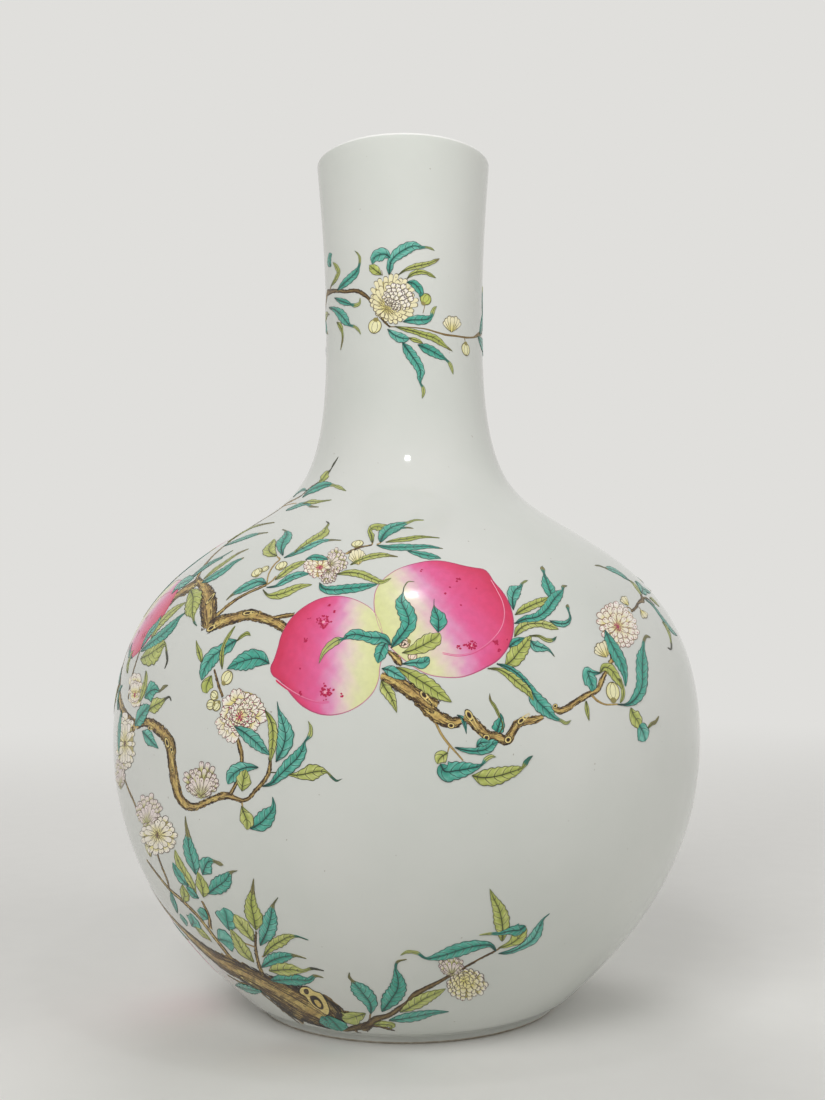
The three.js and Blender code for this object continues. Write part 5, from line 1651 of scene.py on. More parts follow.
def closed_curve(points, count):
    """Points spaced evenly round a smooth closed line through those given."""
    loop = np.array(points, float)
    steps = np.linalg.norm(np.roll(loop, -1, axis=0) - loop, axis=1)
    run = np.concatenate(((0,), np.cumsum(steps)))
    at = np.linspace(0, run[-1], count, endpoint=False)
    span = np.clip(np.searchsorted(run, at, side="right") - 1, 0, len(loop) - 1)
    t = ((at - run[span]) / steps[span])[:, None]
    a, b, c, d = (loop[(span + shift) % len(loop)] for shift in (-1, 0, 1, 2))
    bend = 2 * a - 5 * b + 4 * c - d
    twist = 3 * b - a - 3 * c + d
    return 0.5 * (2 * b + (c - a) * t + bend * t ** 2 + twist * t ** 3)


def peach_colour(value):
    """The colour of the peach where its blush has faded so far."""
    return np.stack([np.interp(value, PEACH_STOPS, PEACH_RAMP[:, channel]) for channel in range(3)], axis=-1)


def blush_at(turn, arc, blush):
    """How far the blush has faded, from 0 at its strongest place to 1 where it has gone."""
    strong, pale = blush
    radius = radius_at(strong[1])
    fade_x, fade_y = (pale[0] - strong[0]) * radius, pale[1] - strong[1]
    return ((turn - strong[0]) * radius * fade_x + (arc - strong[1]) * fade_y) / (fade_x ** 2 + fade_y ** 2)


def peach_patch(outline_turn, outline_arc, blush):
    """The peach's enamel from its outline. Its blush fades from one place to the other."""
    enamel = Enamel()
    centre_turn, centre_arc = outline_turn.mean(), outline_arc.mean()
    rings = PEACH_RINGS[:, None]
    turn = centre_turn + (outline_turn - centre_turn) * rings
    arc = centre_arc + (outline_arc - centre_arc) * rings
    across = turn * radius_at(centre_arc)
    strength, fast_across, fast_up = CROSSED_WAVE
    brushed = strength * np.sin(across * fast_across) * np.sin(arc * fast_up)
    strength, fast_across, fast_up = SLANTED_WAVE
    brushed = brushed + strength * np.sin(across * fast_across + arc * fast_up)
    value = blush_at(turn, arc, blush) + brushed
    value = value - RIM_BLUSH * smoothstep(*RIM_BLUSH_SPAN, rings) * smoothstep(*BLUSHED_SPAN, value)
    enamel.net(turn, arc, domed(rings, PEACH_RIM, PEACH_LIFT, PEACH_CROWN), peach_colour(value), closed=True)
    return enamel


def peach_details(enamel, outline_turn, outline_arc, blush, cleft, dots, bruises=()):
    """Outline, cleft, pale bruises and stippled dots over a peach."""
    loop_turn = np.append(outline_turn, outline_turn[:1])[:, None]
    loop_arc = np.append(outline_arc, outline_arc[:1])[:, None]
    centre_turn, centre_arc = outline_turn.mean(), outline_arc.mean()
    faded = smoothstep(*FADED_SPAN, blush_at(loop_turn, loop_arc, blush))
    inner = OUTLINE_START - OUTLINE_RINGS * (1 - OUTLINE_THINNING * faded)
    enamel.net(centre_turn + (loop_turn - centre_turn) * inner, centre_arc + (loop_arc - centre_arc) * inner,
               np.array((RIM_LIFT, PEACH_LIFT + LINE_LIFT, PEACH_LIFT + LINE_LIFT)),
               mixed(*PEACH_EDGE, faded * np.ones(3)))
    top = PEACH_LIFT + PEACH_CROWN
    below = cleft - (0, CLEFT_SHADOW_DROP, 0)
    for track, colour, (width, lift, taper) in (
            (below, PEACH_CRIMSON, CLEFT_SHADOW), (cleft, PEACH_CLEFT, CLEFT_LIGHT)):
        line(enamel, track, width, top + lift, (colour, PEACH_RAMP[2]), taper)
    for turn, arc, size in bruises:
        disc(enamel, turn, arc, size, size * DOT_FLATNESS, 0, top + BRUISE_LIFT, PEACH_CLEFT, BRUISE_SIDES)
    for turn, arc, size in dots:
        disc(enamel, turn, arc, size, size * DOT_FLATNESS, size * DOT_TURN, top + DOT_LIFT, PEACH_DOT,
             DOT_SIDES)


def traced_peach(spec, turned_by, seed):
    """A peach that the photograph shows, turned round the vase."""
    ground = TracedGround(spec["crop"], turned_by)
    outline = closed_curve(spec["outline"], PEACH_SAMPLES)
    turn, arc = ground.at(*outline.T)
    blush = [ground.at(*place) for place in spec["blush"]]
    enamel = peach_patch(turn, arc, blush)
    cleft = ground.track([(x, y, CLEFT_TRACE_WIDTH) for x, y in spec["cleft"]])
    random_source = random.Random(seed)
    dots, bruises = [], []
    for x, y, reach, count in spec["dots"]:
        bare = BRUISE_SHARE * reach if count >= BRUISED_COUNT else 0
        if bare:
            bruise = ground.at(x, y)
            bruises.append((*bruise, bare * ground.scale(*bruise)))
        for _ in range(count):
            dot_x, dot_y = (
                random_source.gauss(at, reach * share) for at, share in zip((x, y), DOT_CROWDING))
            if math.hypot(dot_x - x, dot_y - y) >= bare:
                dots.append((*ground.at(dot_x, dot_y), random_source.uniform(*DOT_SIZES)))
    peach_details(enamel, turn, arc, blush, cleft, dots, bruises)
    return enamel


# A peach that isn't traced: round shoulders, a shallow cleft at the stalk and a short point
PEACH_LENGTH = 60
PEACH_WIDTH = 55
PEACH_CLEFT_SHARE = 0.07
PEACH_CLEFT_SHARPNESS = 6
PEACH_POINT_SHARE = 0.16
PEACH_POINT_SHARPNESS = 8
PEACH_BLUSH_ENDS = (1.05, -1.02)

# The cleft's line: where it runs, how far it bows to one side as shares of the width, and its points
PEACH_CLEFT_SPAN = (0.95, -0.6)
PEACH_CLEFT_BOW = (0.02, 0.3)
PEACH_CLEFT_POINTS = 7

# Clusters of dots: how many, where they lie as shares of the length and width, dots in each, their spread
PEACH_CLUSTERS = 5
CLUSTER_ALONG = (-0.3, 0.6)
CLUSTER_ACROSS = (-0.3, 0.35)
CLUSTER_DOTS = (2, 26)
CLUSTER_SPREAD = (1.9, 1.6)


def drawn_peach(turn_share, height_share, tilt, blushed, seed):
    """A peach at its place. Its tilt is where its point lies, and the blush lies so far round from there."""
    centre_arc = arc_at_height(height_share * VASE_HEIGHT)
    centre_turn = turn_share * FULL_TURN
    angle = circle(PEACH_SAMPLES)
    reach = 1 + PEACH_POINT_SHARE * np.maximum(np.cos(angle), 0) ** PEACH_POINT_SHARPNESS
    reach -= PEACH_CLEFT_SHARE * np.maximum(-np.cos(angle), 0) ** PEACH_CLEFT_SHARPNESS
    half_length = PEACH_LENGTH / (2 + PEACH_POINT_SHARE - PEACH_CLEFT_SHARE)
    c, s = math.cos(math.radians(tilt)), math.sin(math.radians(tilt))

    def put(x, y):
        arc = centre_arc + x * s + y * c
        return centre_turn + (x * c - y * s) / radius_at(arc), arc

    turn, arc = put(half_length * reach * np.cos(angle), PEACH_WIDTH / 2 * reach * np.sin(angle))
    way = math.radians(blushed)
    blush_x, blush_y = half_length * math.cos(way), half_length * math.sin(way)
    blush = [put(blush_x * share, blush_y * share) for share in PEACH_BLUSH_ENDS]
    enamel = peach_patch(turn, arc, blush)
    run = np.linspace(*PEACH_CLEFT_SPAN, PEACH_CLEFT_POINTS)
    bow = PEACH_CLEFT_BOW[0] - PEACH_CLEFT_BOW[1] * np.sqrt(1 - run ** 2)
    cleft = put(run * half_length, PEACH_WIDTH * bow)
    random_source = random.Random(seed)
    dots = []
    for _ in range(PEACH_CLUSTERS):
        x = random_source.uniform(*CLUSTER_ALONG) * half_length
        y = random_source.uniform(*CLUSTER_ACROSS) * PEACH_WIDTH
        for _ in range(random_source.randrange(*CLUSTER_DOTS)):
            dot = put(*(random_source.gauss(at, spread) for at, spread in zip((x, y), CLUSTER_SPREAD)))
            dots.append((*dot, random_source.uniform(*DOT_SIZES)))
    peach_details(enamel, turn, arc, blush, np.column_stack((*cleft, np.ones(len(run)))), dots)
    return enamel


# The body: a lathe of the glazed wall with its rounded lip, floor, recess and foot

SIDE_COUNT = 224
OUTSIDE_ROW = 3.4
INSIDE_ROW = 7
LIP_STEPS = 8
LIP_DROP = 0.05
COVE_STEPS = 5
BEAD_POINTS = 12
BEAD_SIDES = 96
BEAD_HALF_HEIGHT = SLIP_THICKNESS * 0.8

# Where the glaze bends between the foot ring and the heel, as shares of the way out and up
FOOT_BEND = (0.42, 0.5)

# The recess's cove: how far it starts before the ring, its middle point, and where it ends under the recess
RECESS_COVE = 4
RECESS_COVE_MIDDLE = (1, 0.8)
RECESS_COVE_DROP = 3


def wall_at(height):
    return np.interp(height, [place[1] * VASE_HEIGHT for place in OUTLINE], WALLS)


def inner_skin(arc):
    """Radius and height inside the wall, behind an arc length up the outside."""
    radius, height = skin(arc, GLAZE_INSET)
    out_r, out_z = outward_at(arc)
    wall = wall_at(height)
    return radius - out_r * wall, height - out_z * wall


def inner_radius(height):
    radii, heights = inner_skin(ARC)
    order = np.argsort(heights)
    return np.interp(height, heights[order], radii[order])


def body_profile():
    """Radius and height from the foot's outer edge up the outside, down the inside and under the foot."""
    lip_half = (WALLS[-1] - GLAZE_INSET) / 2
    lip_arc = arc_at_height(VASE_HEIGHT - LIP_DROP - lip_half)
    heel_radius, heel_height = skin(0.0, 0)
    bend_radius = FOOT_RADIUS + (heel_radius - FOOT_RADIUS) * FOOT_BEND[0]
    bend_height = FOOT_RING_HEIGHT + (heel_height - FOOT_RING_HEIGHT) * FOOT_BEND[1]
    foot = [(FOOT_RADIUS, FOOT_CHAMFER), (FOOT_RADIUS, FOOT_RING_HEIGHT), (bend_radius, bend_height)]
    outside = np.column_stack(skin(np.linspace(0, lip_arc, math.ceil(lip_arc / OUTSIDE_ROW)), 0))
    outer = outside[-1]
    angle = np.linspace(0, math.pi, LIP_STEPS + 2)[1:-1]
    lip = outer - (lip_half, 0) + lip_half * np.column_stack((np.cos(angle), np.sin(angle)))
    floor = RECESS_DEPTH + BASE_THICKNESS
    low_arc = np.interp(floor + FLOOR_COVE / 2, inner_skin(ARC)[1], ARC)
    inside = np.column_stack(inner_skin(np.linspace(lip_arc, low_arc, math.ceil(lip_arc / INSIDE_ROW))))
    cove_top = inside[-1]
    bend = np.linspace(0, math.pi / 2, COVE_STEPS + 1)[1:]
    cove = np.column_stack((
        cove_top[0] - FLOOR_COVE * (1 - np.cos(bend)), cove_top[1] - (cove_top[1] - floor) * np.sin(bend)))
    return np.vstack((foot, outside, lip, inside, cove, [(0, floor)]))


def foot_profile():
    """The recess under the foot, from its middle out to the foot ring."""
    ring_inside = FOOT_RADIUS - FOOT_RING_WIDTH
    before, below = RECESS_COVE_MIDDLE
    return np.array((
        (0, RECESS_DEPTH), (ring_inside - RECESS_COVE, RECESS_DEPTH),
        (ring_inside - before, RECESS_DEPTH - below), (ring_inside, RECESS_DEPTH - RECESS_COVE_DROP),
        (ring_inside, FOOT_CHAMFER)))


def lathe(name, profiles, material, sides=SIDE_COUNT, closed=False):
    """Turned piece from profiles of radius and height. A point on the axis closes a profile's end."""
    angle = circle(sides)
    points, faces = [], []
    for profile in profiles:
        rings = []
        for radius, height in profile:
            start = len(points)
            if radius < TINY:
                points.append((0, 0, height))
                rings.append([start] * sides)
                continue
            points.extend(zip(radius * np.sin(angle), -radius * np.cos(angle), np.full(sides, height)))
            rings.append(list(range(start, start + sides)))
        if closed:
            rings.append(rings[0])
        for low, high in zip(rings, rings[1:]):
            for here in range(sides):
                ahead = (here + 1) % sides
                corners = dict.fromkeys((low[here], low[ahead], high[ahead], high[here]))
                faces.append(tuple(corners))
    mesh = bpy.data.meshes.new(name)
    mesh.from_pydata([tuple(float(value) * MM for value in point) for point in points], [], faces)
    return vase_piece(name, mesh, material)


def build_body():
    body = lathe("glazed_body", (body_profile(), foot_profile()), GLAZE)
    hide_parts("foot_section", "lower_belly", "upper_belly", "neck")
    ring_inside = FOOT_RADIUS - FOOT_RING_WIDTH
    contact = ((ring_inside, FOOT_CHAMFER), (ring_inside + FOOT_CHAMFER, 0), (FOOT_RADIUS - FOOT_CHAMFER, 0),
               (FOOT_RADIUS, FOOT_CHAMFER))
    lathe("bare_foot_ring", (contact,), BISCUIT)
    around = circle(BEAD_POINTS)
    beads = []
    for height in JOINT_HEIGHTS:
        middle = height + SLIP_THICKNESS / 2
        beads.append(np.column_stack((
            inner_radius(middle) + SLIP_BEAD * np.cos(around), middle + BEAD_HALF_HEIGHT * np.sin(around))))
    seams = lathe("slip_beads", beads, BISCUIT, BEAD_SIDES, closed=True)
    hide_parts("foot_seam", "belly_seam", "neck_seam")


# Finishes

class Finish:
    """A node material built up from a Principled shader."""

    def __init__(self, name):
        self.material = bpy.data.materials.new(name)
        self.material.use_nodes = True
        self.nodes = self.material.node_tree.nodes
        self.links = self.material.node_tree.links
        self.shader = self.nodes["Principled BSDF"]
        self.place = self.nodes.new("ShaderNodeTexCoord").outputs["Object"]

    def noise(self, scale, detail, roughness=0.5):
        node = self.nodes.new("ShaderNodeTexNoise")
        node.inputs["Scale"].default_value = scale
        node.inputs["Detail"].default_value = detail
        node.inputs["Roughness"].default_value = roughness
        self.links.new(self.place, node.inputs["Vector"])
        return node.outputs["Fac"]

    def height(self):
        """Height above the table in metres."""
        node = self.nodes.new("ShaderNodeSeparateXYZ")
        self.links.new(self.place, node.inputs["Vector"])
        return node.outputs["Z"]

    def ranged(self, value, low, high, to_low, to_high, smooth=False):
        """A value's span stretched over another."""
        node = self.nodes.new("ShaderNodeMapRange")
        node.interpolation_type = "SMOOTHSTEP" if smooth else "LINEAR"
        for name, number in (("From Min", low), ("From Max", high), ("To Min", to_low), ("To Max", to_high)):
            node.inputs[name].default_value = number
        self.links.new(value, node.inputs["Value"])
        return node.outputs["Result"]

    def blend(self, mode, share, first, second):
        node = self.nodes.new("ShaderNodeMix")
        node.data_type = "RGBA"
        node.blend_type = mode
        for socket, value in (("Factor_Float", share), ("A_Color", first), ("B_Color", second)):
            target = next(s for s in node.inputs if s.identifier == socket)
            if isinstance(value, bpy.types.NodeSocket):
                self.links.new(value, target)
            else:
                target.default_value = value
        return next(s for s in node.outputs if s.identifier == "Result_Color")

    def bump(self, height, strength, distance):
        node = self.nodes.new("ShaderNodeBump")
        node.inputs["Strength"].default_value = strength
        node.inputs["Distance"].default_value = distance
        self.links.new(height, node.inputs["Height"])
        self.links.new(node.outputs["Normal"], self.shader.inputs["Normal"])

    def drive(self, socket, value):
        self.links.new(value, self.shader.inputs[socket])

    def set(self, socket, value):
        self.shader.inputs[socket].default_value = value


def opaque(colour):
    return (*colour, 1.0)


# A noise is its scale, which is per metre, and its detail. A span is the part of the noise, from 0 to 1,
# that a look is spread over.
WIDE_SPAN = (0.3, 0.7)
GLAZE_COLOUR = linear(219, 220, 215)
POOLED_GLAZE = linear(211, 214, 208)
POOL_NOISE = (9, 4)
POOL_SPAN = (0.35, 0.65)
GLAZE_ROUGHNESS = (0.06, 0.11)
GLAZE_ROUGHNESS_NOISE = (30, 3)
GLAZE_WAVE_NOISE = (24, 2)
GLAZE_WAVE = (0.12, 0.0006)

# Depths under the top, in mm, between which the lip's rounded top turns paler: a painted highlight where it
# catches the light from above
LIP_HIGHLIGHT_DEPTHS = (1.9, 1.3)
LIP_HIGHLIGHT = linear(238, 238, 235)

# Specks of iron under the glaze, and how strong the strongest is
SPECK_COLOUR = linear(120, 100, 76)
SPECK_NOISE = (420, 1)
SPECK_SPAN = (0.795, 0.83)
SPECK_STRENGTH = 0.5

# The bare porcelain of the foot ring and of the slip: pale and brown grain, roughness and relief
BISCUIT_COLOURS = (linear(222, 216, 204), linear(190, 176, 156))
GRAIN_NOISE = (300, 5)
BISCUIT_ROUGHNESS = 0.75
GRAIN_RELIEF = (0.3, 0.0002)

# Enamel: the detail, roughness and part of the noise that mottles it, how much rougher its dull patches
# are, its relief's depth, and the scales of dull patches and relief as shares of the mottling's
MOTTLE_DETAIL = 4
MOTTLE_ROUGHNESS = 0.6
MOTTLE_SPAN = (0.25, 0.75)
DULLER = 0.12
DULL_SCALE = 0.6
DULL_DETAIL = 2
ENAMEL_RELIEF_DEPTH = 0.0003
RELIEF_SCALE = 1.4
RELIEF_DETAIL = 3


def glaze_finish():
    finish = Finish("celadon_white_glaze")
    pooled = finish.ranged(finish.noise(*POOL_NOISE), *POOL_SPAN, 0, 1)
    colour = finish.blend("MIX", pooled, opaque(GLAZE_COLOUR), opaque(POOLED_GLAZE))
    # A painted highlight along the lip's rounded top, paler from these depths up
    start, end = (VASE_HEIGHT * MM - depth * MM for depth in LIP_HIGHLIGHT_DEPTHS)
    thin = finish.ranged(finish.height(), start, end, 0, 1)
    colour = finish.blend("MIX", thin, colour, opaque(LIP_HIGHLIGHT))
    specks = finish.ranged(finish.noise(*SPECK_NOISE), *SPECK_SPAN, 0, SPECK_STRENGTH)
    colour = finish.blend("MIX", specks, colour, opaque(SPECK_COLOUR))
    finish.drive("Base Color", colour)
    finish.drive("Roughness", finish.ranged(
        finish.noise(*GLAZE_ROUGHNESS_NOISE), *WIDE_SPAN, *GLAZE_ROUGHNESS))
    finish.bump(finish.noise(*GLAZE_WAVE_NOISE), *GLAZE_WAVE)
    return finish.material


def biscuit_finish():
    finish = Finish("bare_porcelain")
    grain = finish.ranged(finish.noise(*GRAIN_NOISE), *WIDE_SPAN, 0, 1)
    finish.drive("Base Color", finish.blend("MIX", grain, *(opaque(colour) for colour in BISCUIT_COLOURS)))
    finish.set("Roughness", BISCUIT_ROUGHNESS)
    finish.bump(grain, *GRAIN_RELIEF)
    return finish.material


def enamel_finish(name, patch_scale, darkest, lightest, gloss, relief):
    """Enamel whose colour is painted on each point, mottled by the thickness of the brushful."""
    finish = Finish(name)
    paint = finish.nodes.new("ShaderNodeAttribute")
    paint.attribute_name = "paint"
    patches = finish.noise(patch_scale, MOTTLE_DETAIL, MOTTLE_ROUGHNESS)
    mottle = finish.ranged(patches, *MOTTLE_SPAN, darkest, lightest)
    grey = finish.nodes.new("ShaderNodeCombineColor")
    for channel in ("Red", "Green", "Blue"):
        finish.links.new(mottle, grey.inputs[channel])
    finish.drive("Base Color", finish.blend("MULTIPLY", 1.0, paint.outputs["Color"], grey.outputs["Color"]))
    finish.drive("Roughness", finish.ranged(
        finish.noise(patch_scale * DULL_SCALE, DULL_DETAIL), *WIDE_SPAN, gloss, gloss + DULLER))
    finish.bump(finish.noise(patch_scale * RELIEF_SCALE, RELIEF_DETAIL), relief, ENAMEL_RELIEF_DEPTH)
    return finish.material


GLAZE = glaze_finish()
BISCUIT = biscuit_finish()

# Each enamel: scale of its mottling, its darkest and lightest shade, roughness, and strength of its relief
LEAF_ENAMEL = enamel_finish("leaf_enamel", 380, 0.8, 1.12, 0.16, 0.25)
BARK_ENAMEL = enamel_finish("bark_enamel", 620, 0.62, 1.2, 0.3, 0.3)
PETAL_ENAMEL = enamel_finish("petal_enamel", 420, 0.92, 1.04, 0.25, 0.15)
PEACH_ENAMEL = enamel_finish("peach_enamel", 260, 0.93, 1.05, 0.12, 0.08)
DRAWN_LINES = enamel_finish("drawn_lines", 700, 0.75, 1.1, 0.3, 0.1)


# Everything painted on the vase, front and back. The hidden side is the front's boughs turned half round.

# Sprays that share their pieces. Then each piece's material and slot, and the CAD nodes in whose place
# the pieces of the front and the back stand
GROUPS = {
    "neck": (NECK_SPRAY,),
    "shoulder": (SHOULDER_SPRAY,),
    "left": (LEFT_PEACH_SPRAY, UPPER_LEFT_SPRAY, LEFT_BOUGH_SPRAY),
    "right": (RIGHT_PEACH_SPRAY, RIGHT_BOUGH_SPRAY, RIGHT_EDGE_SPRAY),
    "foot": (CORNER_SPRAY, LOWER_RIGHT_SPRAY),
}
LAYERS = {
    "green_leaves": (LEAF_ENAMEL, "leaf_green_enamel"),
    "lime_leaves": (LEAF_ENAMEL, "leaf_lime_enamel"),
    "bark": (BARK_ENAMEL, "bark_enamel"),
    "petals": (PETAL_ENAMEL, "petal_enamel"),
    "lines": (DRAWN_LINES, "bark_enamel"),
}
FRONT_NODES = {
    "neck": {"petals": ("blossom_6",), "green_leaves": ("green_leaf_11", "green_leaf_12", "green_leaf_13"),
             "lime_leaves": ("lime_leaf_6",), "bark": ("twig_neck",)},
    "shoulder": {"green_leaves": ("green_leaf_10",), "lime_leaves": ("lime_leaf_5",)},
    "left": {"petals": ("blossom_1", "blossom_2"), "green_leaves": ("green_leaf_5",),
             "lime_leaves": ("lime_leaf_3",),
             "bark": ("bough_upper_left", "bough_lower_left", "twig_upper")},
    "right": {"petals": ("blossom_5",), "lime_leaves": ("lime_leaf_1", "lime_leaf_2"),
              "green_leaves": ("green_leaf_1", "green_leaf_2", "green_leaf_3", "green_leaf_4"),
              "bark": ("bough_right", "twig_edge")},
    "foot": {"petals": ("blossom_3", "blossom_4"), "lime_leaves": ("lime_leaf_4",), "bark": ("twig_foot",),
             "green_leaves": ("green_leaf_6", "green_leaf_7", "green_leaf_8", "green_leaf_9")},
}
BACK_NODES = {
    "neck": {"petals": ("blossom_9",), "bark": ("twig_neck_back",)},
    "left": {"petals": ("blossom_7",), "lime_leaves": ("lime_leaf_8",), "bark": ("bough_back_high",)},
    "right": {"green_leaves": ("green_leaf_14",), "lime_leaves": ("lime_leaf_7",),
              "bark": ("bough_back_low",)},
    "foot": {"petals": ("blossom_8",), "green_leaves": ("green_leaf_15",)},
}

# The trunk where the photograph doesn't show it: share of a turn from the front, and of the height
HIDDEN_TRUNK = (
    (-0.412, 0.375, 7), (-0.394, 0.345, 9), (-0.376, 0.333, 10), (-0.36, 0.3, 10), (-0.352, 0.268, 11),
    (-0.33, 0.246, 11), (-0.313, 0.21, 12), (-0.288, 0.196, 12), (-0.266, 0.165, 13), (-0.236, 0.155, 13))
HIDDEN_TRUNK_KNOTS = (
    (-0.352, 0.275, 3.6, 2.2, 65, 1.2), (-0.3, 0.2, 3.2, 2.4, -30, 0), (-0.262, 0.166, 4.4, 2.4, -12, 1.4))

# Boughs, leaves, blossoms and buds of the sides, which the photograph doesn't show. A bough's points are
# (share of a turn, share of the height, width). A leaf is its stalk's place, then its heading, length,
# width, bend and colour. The boughs of the trunk are on the left alone, and the others on both sides.
SIDE_BOUGHS = (
    ((-0.154, 0.329, 7), (-0.176, 0.343, 7), (-0.198, 0.37, 6.5), (-0.214, 0.408, 6), (-0.203, 0.436, 5),
     (-0.172, 0.449, 5)),
    ((-0.213, 0.408, 3.4), (-0.236, 0.432, 2.8), (-0.232, 0.462, 2.6), (-0.21, 0.49, 2.2)),
    ((-0.236, 0.432, 2.2), (-0.25, 0.44, 1.8), (-0.262, 0.43, 1.4)),
    ((-0.232, 0.462, 1.6), (-0.248, 0.478, 1.4), (-0.262, 0.482, 1.2)),
)
SIDE_LEAVES = (
    (-0.209, 0.492, 62, 30, 8, 34, "green"), (-0.208, 0.493, 118, 36, 9, -30, "green"),
    (-0.21, 0.49, 172, 32, 8, 40, "lime"), (-0.211, 0.488, 252, 30, 9, 36, "green"),
    (-0.236, 0.432, 205, 30, 8, -28, "lime"), (-0.248, 0.478, 110, 26, 7, 30, "green"),
    (-0.262, 0.482, 165, 26, 7, 26, "green"), (-0.26, 0.482, 210, 22, 6, -20, "lime"),
    (-0.198, 0.37, 150, 34, 9, 30, "green"), (-0.2, 0.368, 205, 30, 8, 24, "lime"),
    (-0.178, 0.344, 250, 30, 9, 30, "green"),
)
SIDE_BLOSSOMS = ((-0.258, 0.405, 14, 13, 20, "rose"),)
SIDE_BUDS = ((-0.272, 0.49, 3, "round", 120), (-0.25, 0.462, 2.8, "round", 200))
TRUNK_BOUGHS = (
    ((-0.3, 0.203, 8), (-0.286, 0.232, 7), (-0.268, 0.246, 6.5), (-0.254, 0.285, 6.5), (-0.23, 0.312, 6),
     (-0.214, 0.352, 6), (-0.198, 0.37, 6)),
    ((-0.35, 0.272, 4.4), (-0.336, 0.312, 3.6), (-0.314, 0.338, 3), (-0.31, 0.372, 2.4)),
    ((-0.236, 0.155, 3.6), (-0.218, 0.126, 3), (-0.2, 0.1, 2.4), (-0.184, 0.068, 2)),
    ((-0.375, 0.333, 3.4), (-0.384, 0.3, 2.6), (-0.4, 0.272, 2)),
)
TRUNK_LEAVES = (
    (-0.31, 0.372, 84, 34, 9, 26, "green"), (-0.311, 0.37, 132, 32, 9, -30, "lime"),
    (-0.309, 0.368, 34, 34, 9, -36, "green"), (-0.33, 0.322, 140, 30, 9, 30, "green"),
    (-0.322, 0.334, 350, 34, 9, 40, "lime"), (-0.286, 0.232, 160, 34, 10, -30, "green"),
    (-0.266, 0.25, 330, 36, 10, 30, "green"), (-0.254, 0.285, 120, 30, 8, 34, "lime"),
    (-0.242, 0.3, 300, 30, 8, -26, "green"), (-0.316, 0.212, 236, 32, 10, 34, "green"),
    (-0.29, 0.194, 276, 28, 8, -30, "lime"), (-0.342, 0.254, 220, 34, 9, -26, "green"),
    (-0.4, 0.272, 230, 30, 9, 30, "green"), (-0.399, 0.275, 270, 32, 9, 34, "lime"),
    (-0.386, 0.298, 190, 26, 8, 24, "green"), (-0.218, 0.126, 190, 34, 9, 24, "green"),
    (-0.204, 0.106, 330, 28, 8, 26, "green"), (-0.212, 0.118, 215, 30, 8, -30, "lime"),
)
TRUNK_BLOSSOMS = ((-0.296, 0.31, 13, 12, 10, "fan"),)
TRUNK_BUDS = ((-0.326, 0.372, 3, "round", 130), (-0.412, 0.262, 3, "round", 240))

# Twigs that join a spray to what it grows from, where the photograph doesn't show it
LINKS = (
    ((-0.291, 0.785, 2.4), (-0.276, 0.79, 2.6), (-0.262, 0.806, 2.6), (-0.24, 0.818, 3),
     (-0.205, 0.834, 3.4)),
    ((-0.147, 0.482, 3), (-0.16, 0.504, 2.6), (-0.171, 0.524, 2.4), (-0.181, 0.548, 2.2),
     (-0.178, 0.569, 2.2)),
)
LINK_LEAVES = (
    (-0.276, 0.79, 62, 22, 6, 24, "green"), (-0.262, 0.806, 20, 24, 6, -40, "lime"),
    (-0.26, 0.806, 110, 22, 6, -24, "green"), (-0.25, 0.812, 300, 22, 6, 30, "green"),
)

# Peaches that the photograph shows by an edge: shares of a turn and of the height, the tilt of the point,
# and how far round from there the blush lies
EDGE_PEACH_PLACES = {
    "peach_3": (-0.183, 0.446, 200, 130),
    "peach_4": (-0.236, 0.512, 150, -130),
    "peach_5": (-0.216, 0.075, 160, 0),
}
REPEATED_PEACHES = {"peach_1": "peach_6", "peach_2": "peach_7", "peach_3": "peach_8", "peach_4": "peach_9"}

# Seeds: how far apart those of the groups and of their sprays are, and where the others start
GROUP_SEEDS = 100
SPRAY_SEEDS = 30
TRUNK_SEED = 5
SIDE_SEED = 500
LINK_SEED = 550
TRUNK_BOUGH_SEED = 600
EDGE_PEACH_SEED = 10


def paint_spray(group, spray, turned_by, seed):
    """A spray of the photograph, turned round the vase."""
    ground = TracedGround(spray["crop"], turned_by)
    for number, points in enumerate(spray["boughs"]):
        bough_stroke(group, ground.track(points), seed + number, number in spray.get("raised", ()),
                     spray.get("dark", False))
    for number, (kind, *tip, points) in enumerate(spray["leaves"]):
        place = next((place for place in ("under", "over") if number in spray.get(place, ())), "among")
        leaf(group, kind, tip, ground.track(points), seed + number, place)
    for number, spec in enumerate(spray.get("blossoms", ())):
        blossom(group, ground, spec, seed + number)
    for spec in spray.get("buds", ()):
        bud(group, ground, spec)
    for spec in spray.get("knots", ()):
        knot(group, TracedGround(WHOLE_PHOTO, turned_by), spec)


def grow(group, boughs, leaves, blossoms, buds, turned_by, seed):
    """Boughs, leaves, blossoms and buds that are placed by their shares of a turn and of the height."""
    for number, points in enumerate(boughs):
        bough_stroke(group, placed(points, turned_by), seed + number)
    for number, (turn_share, height_share, heading, length, width, bend, kind) in enumerate(leaves):
        ground = LocalGround(turn_share, height_share, turned_by)
        grown_leaf(group, ground.turn, ground.arc, heading, length, width, bend, kind, seed + number)
    for number, (turn_share, height_share, *spec) in enumerate(blossoms):
        blossom(group, LocalGround(turn_share, height_share, turned_by), (0, 0, *spec), seed + number)
    for turn_share, height_share, *spec in buds:
        bud(group, LocalGround(turn_share, height_share, turned_by), (0, 0, *spec))


def finish_group(name, group, nodes):
    for layer, (material, slot) in LAYERS.items():
        group[layer].piece(f"{name}_{layer}", material, slot, nodes.get(layer, ()))


def new_group():
    return {layer: Enamel() for layer in LAYERS}


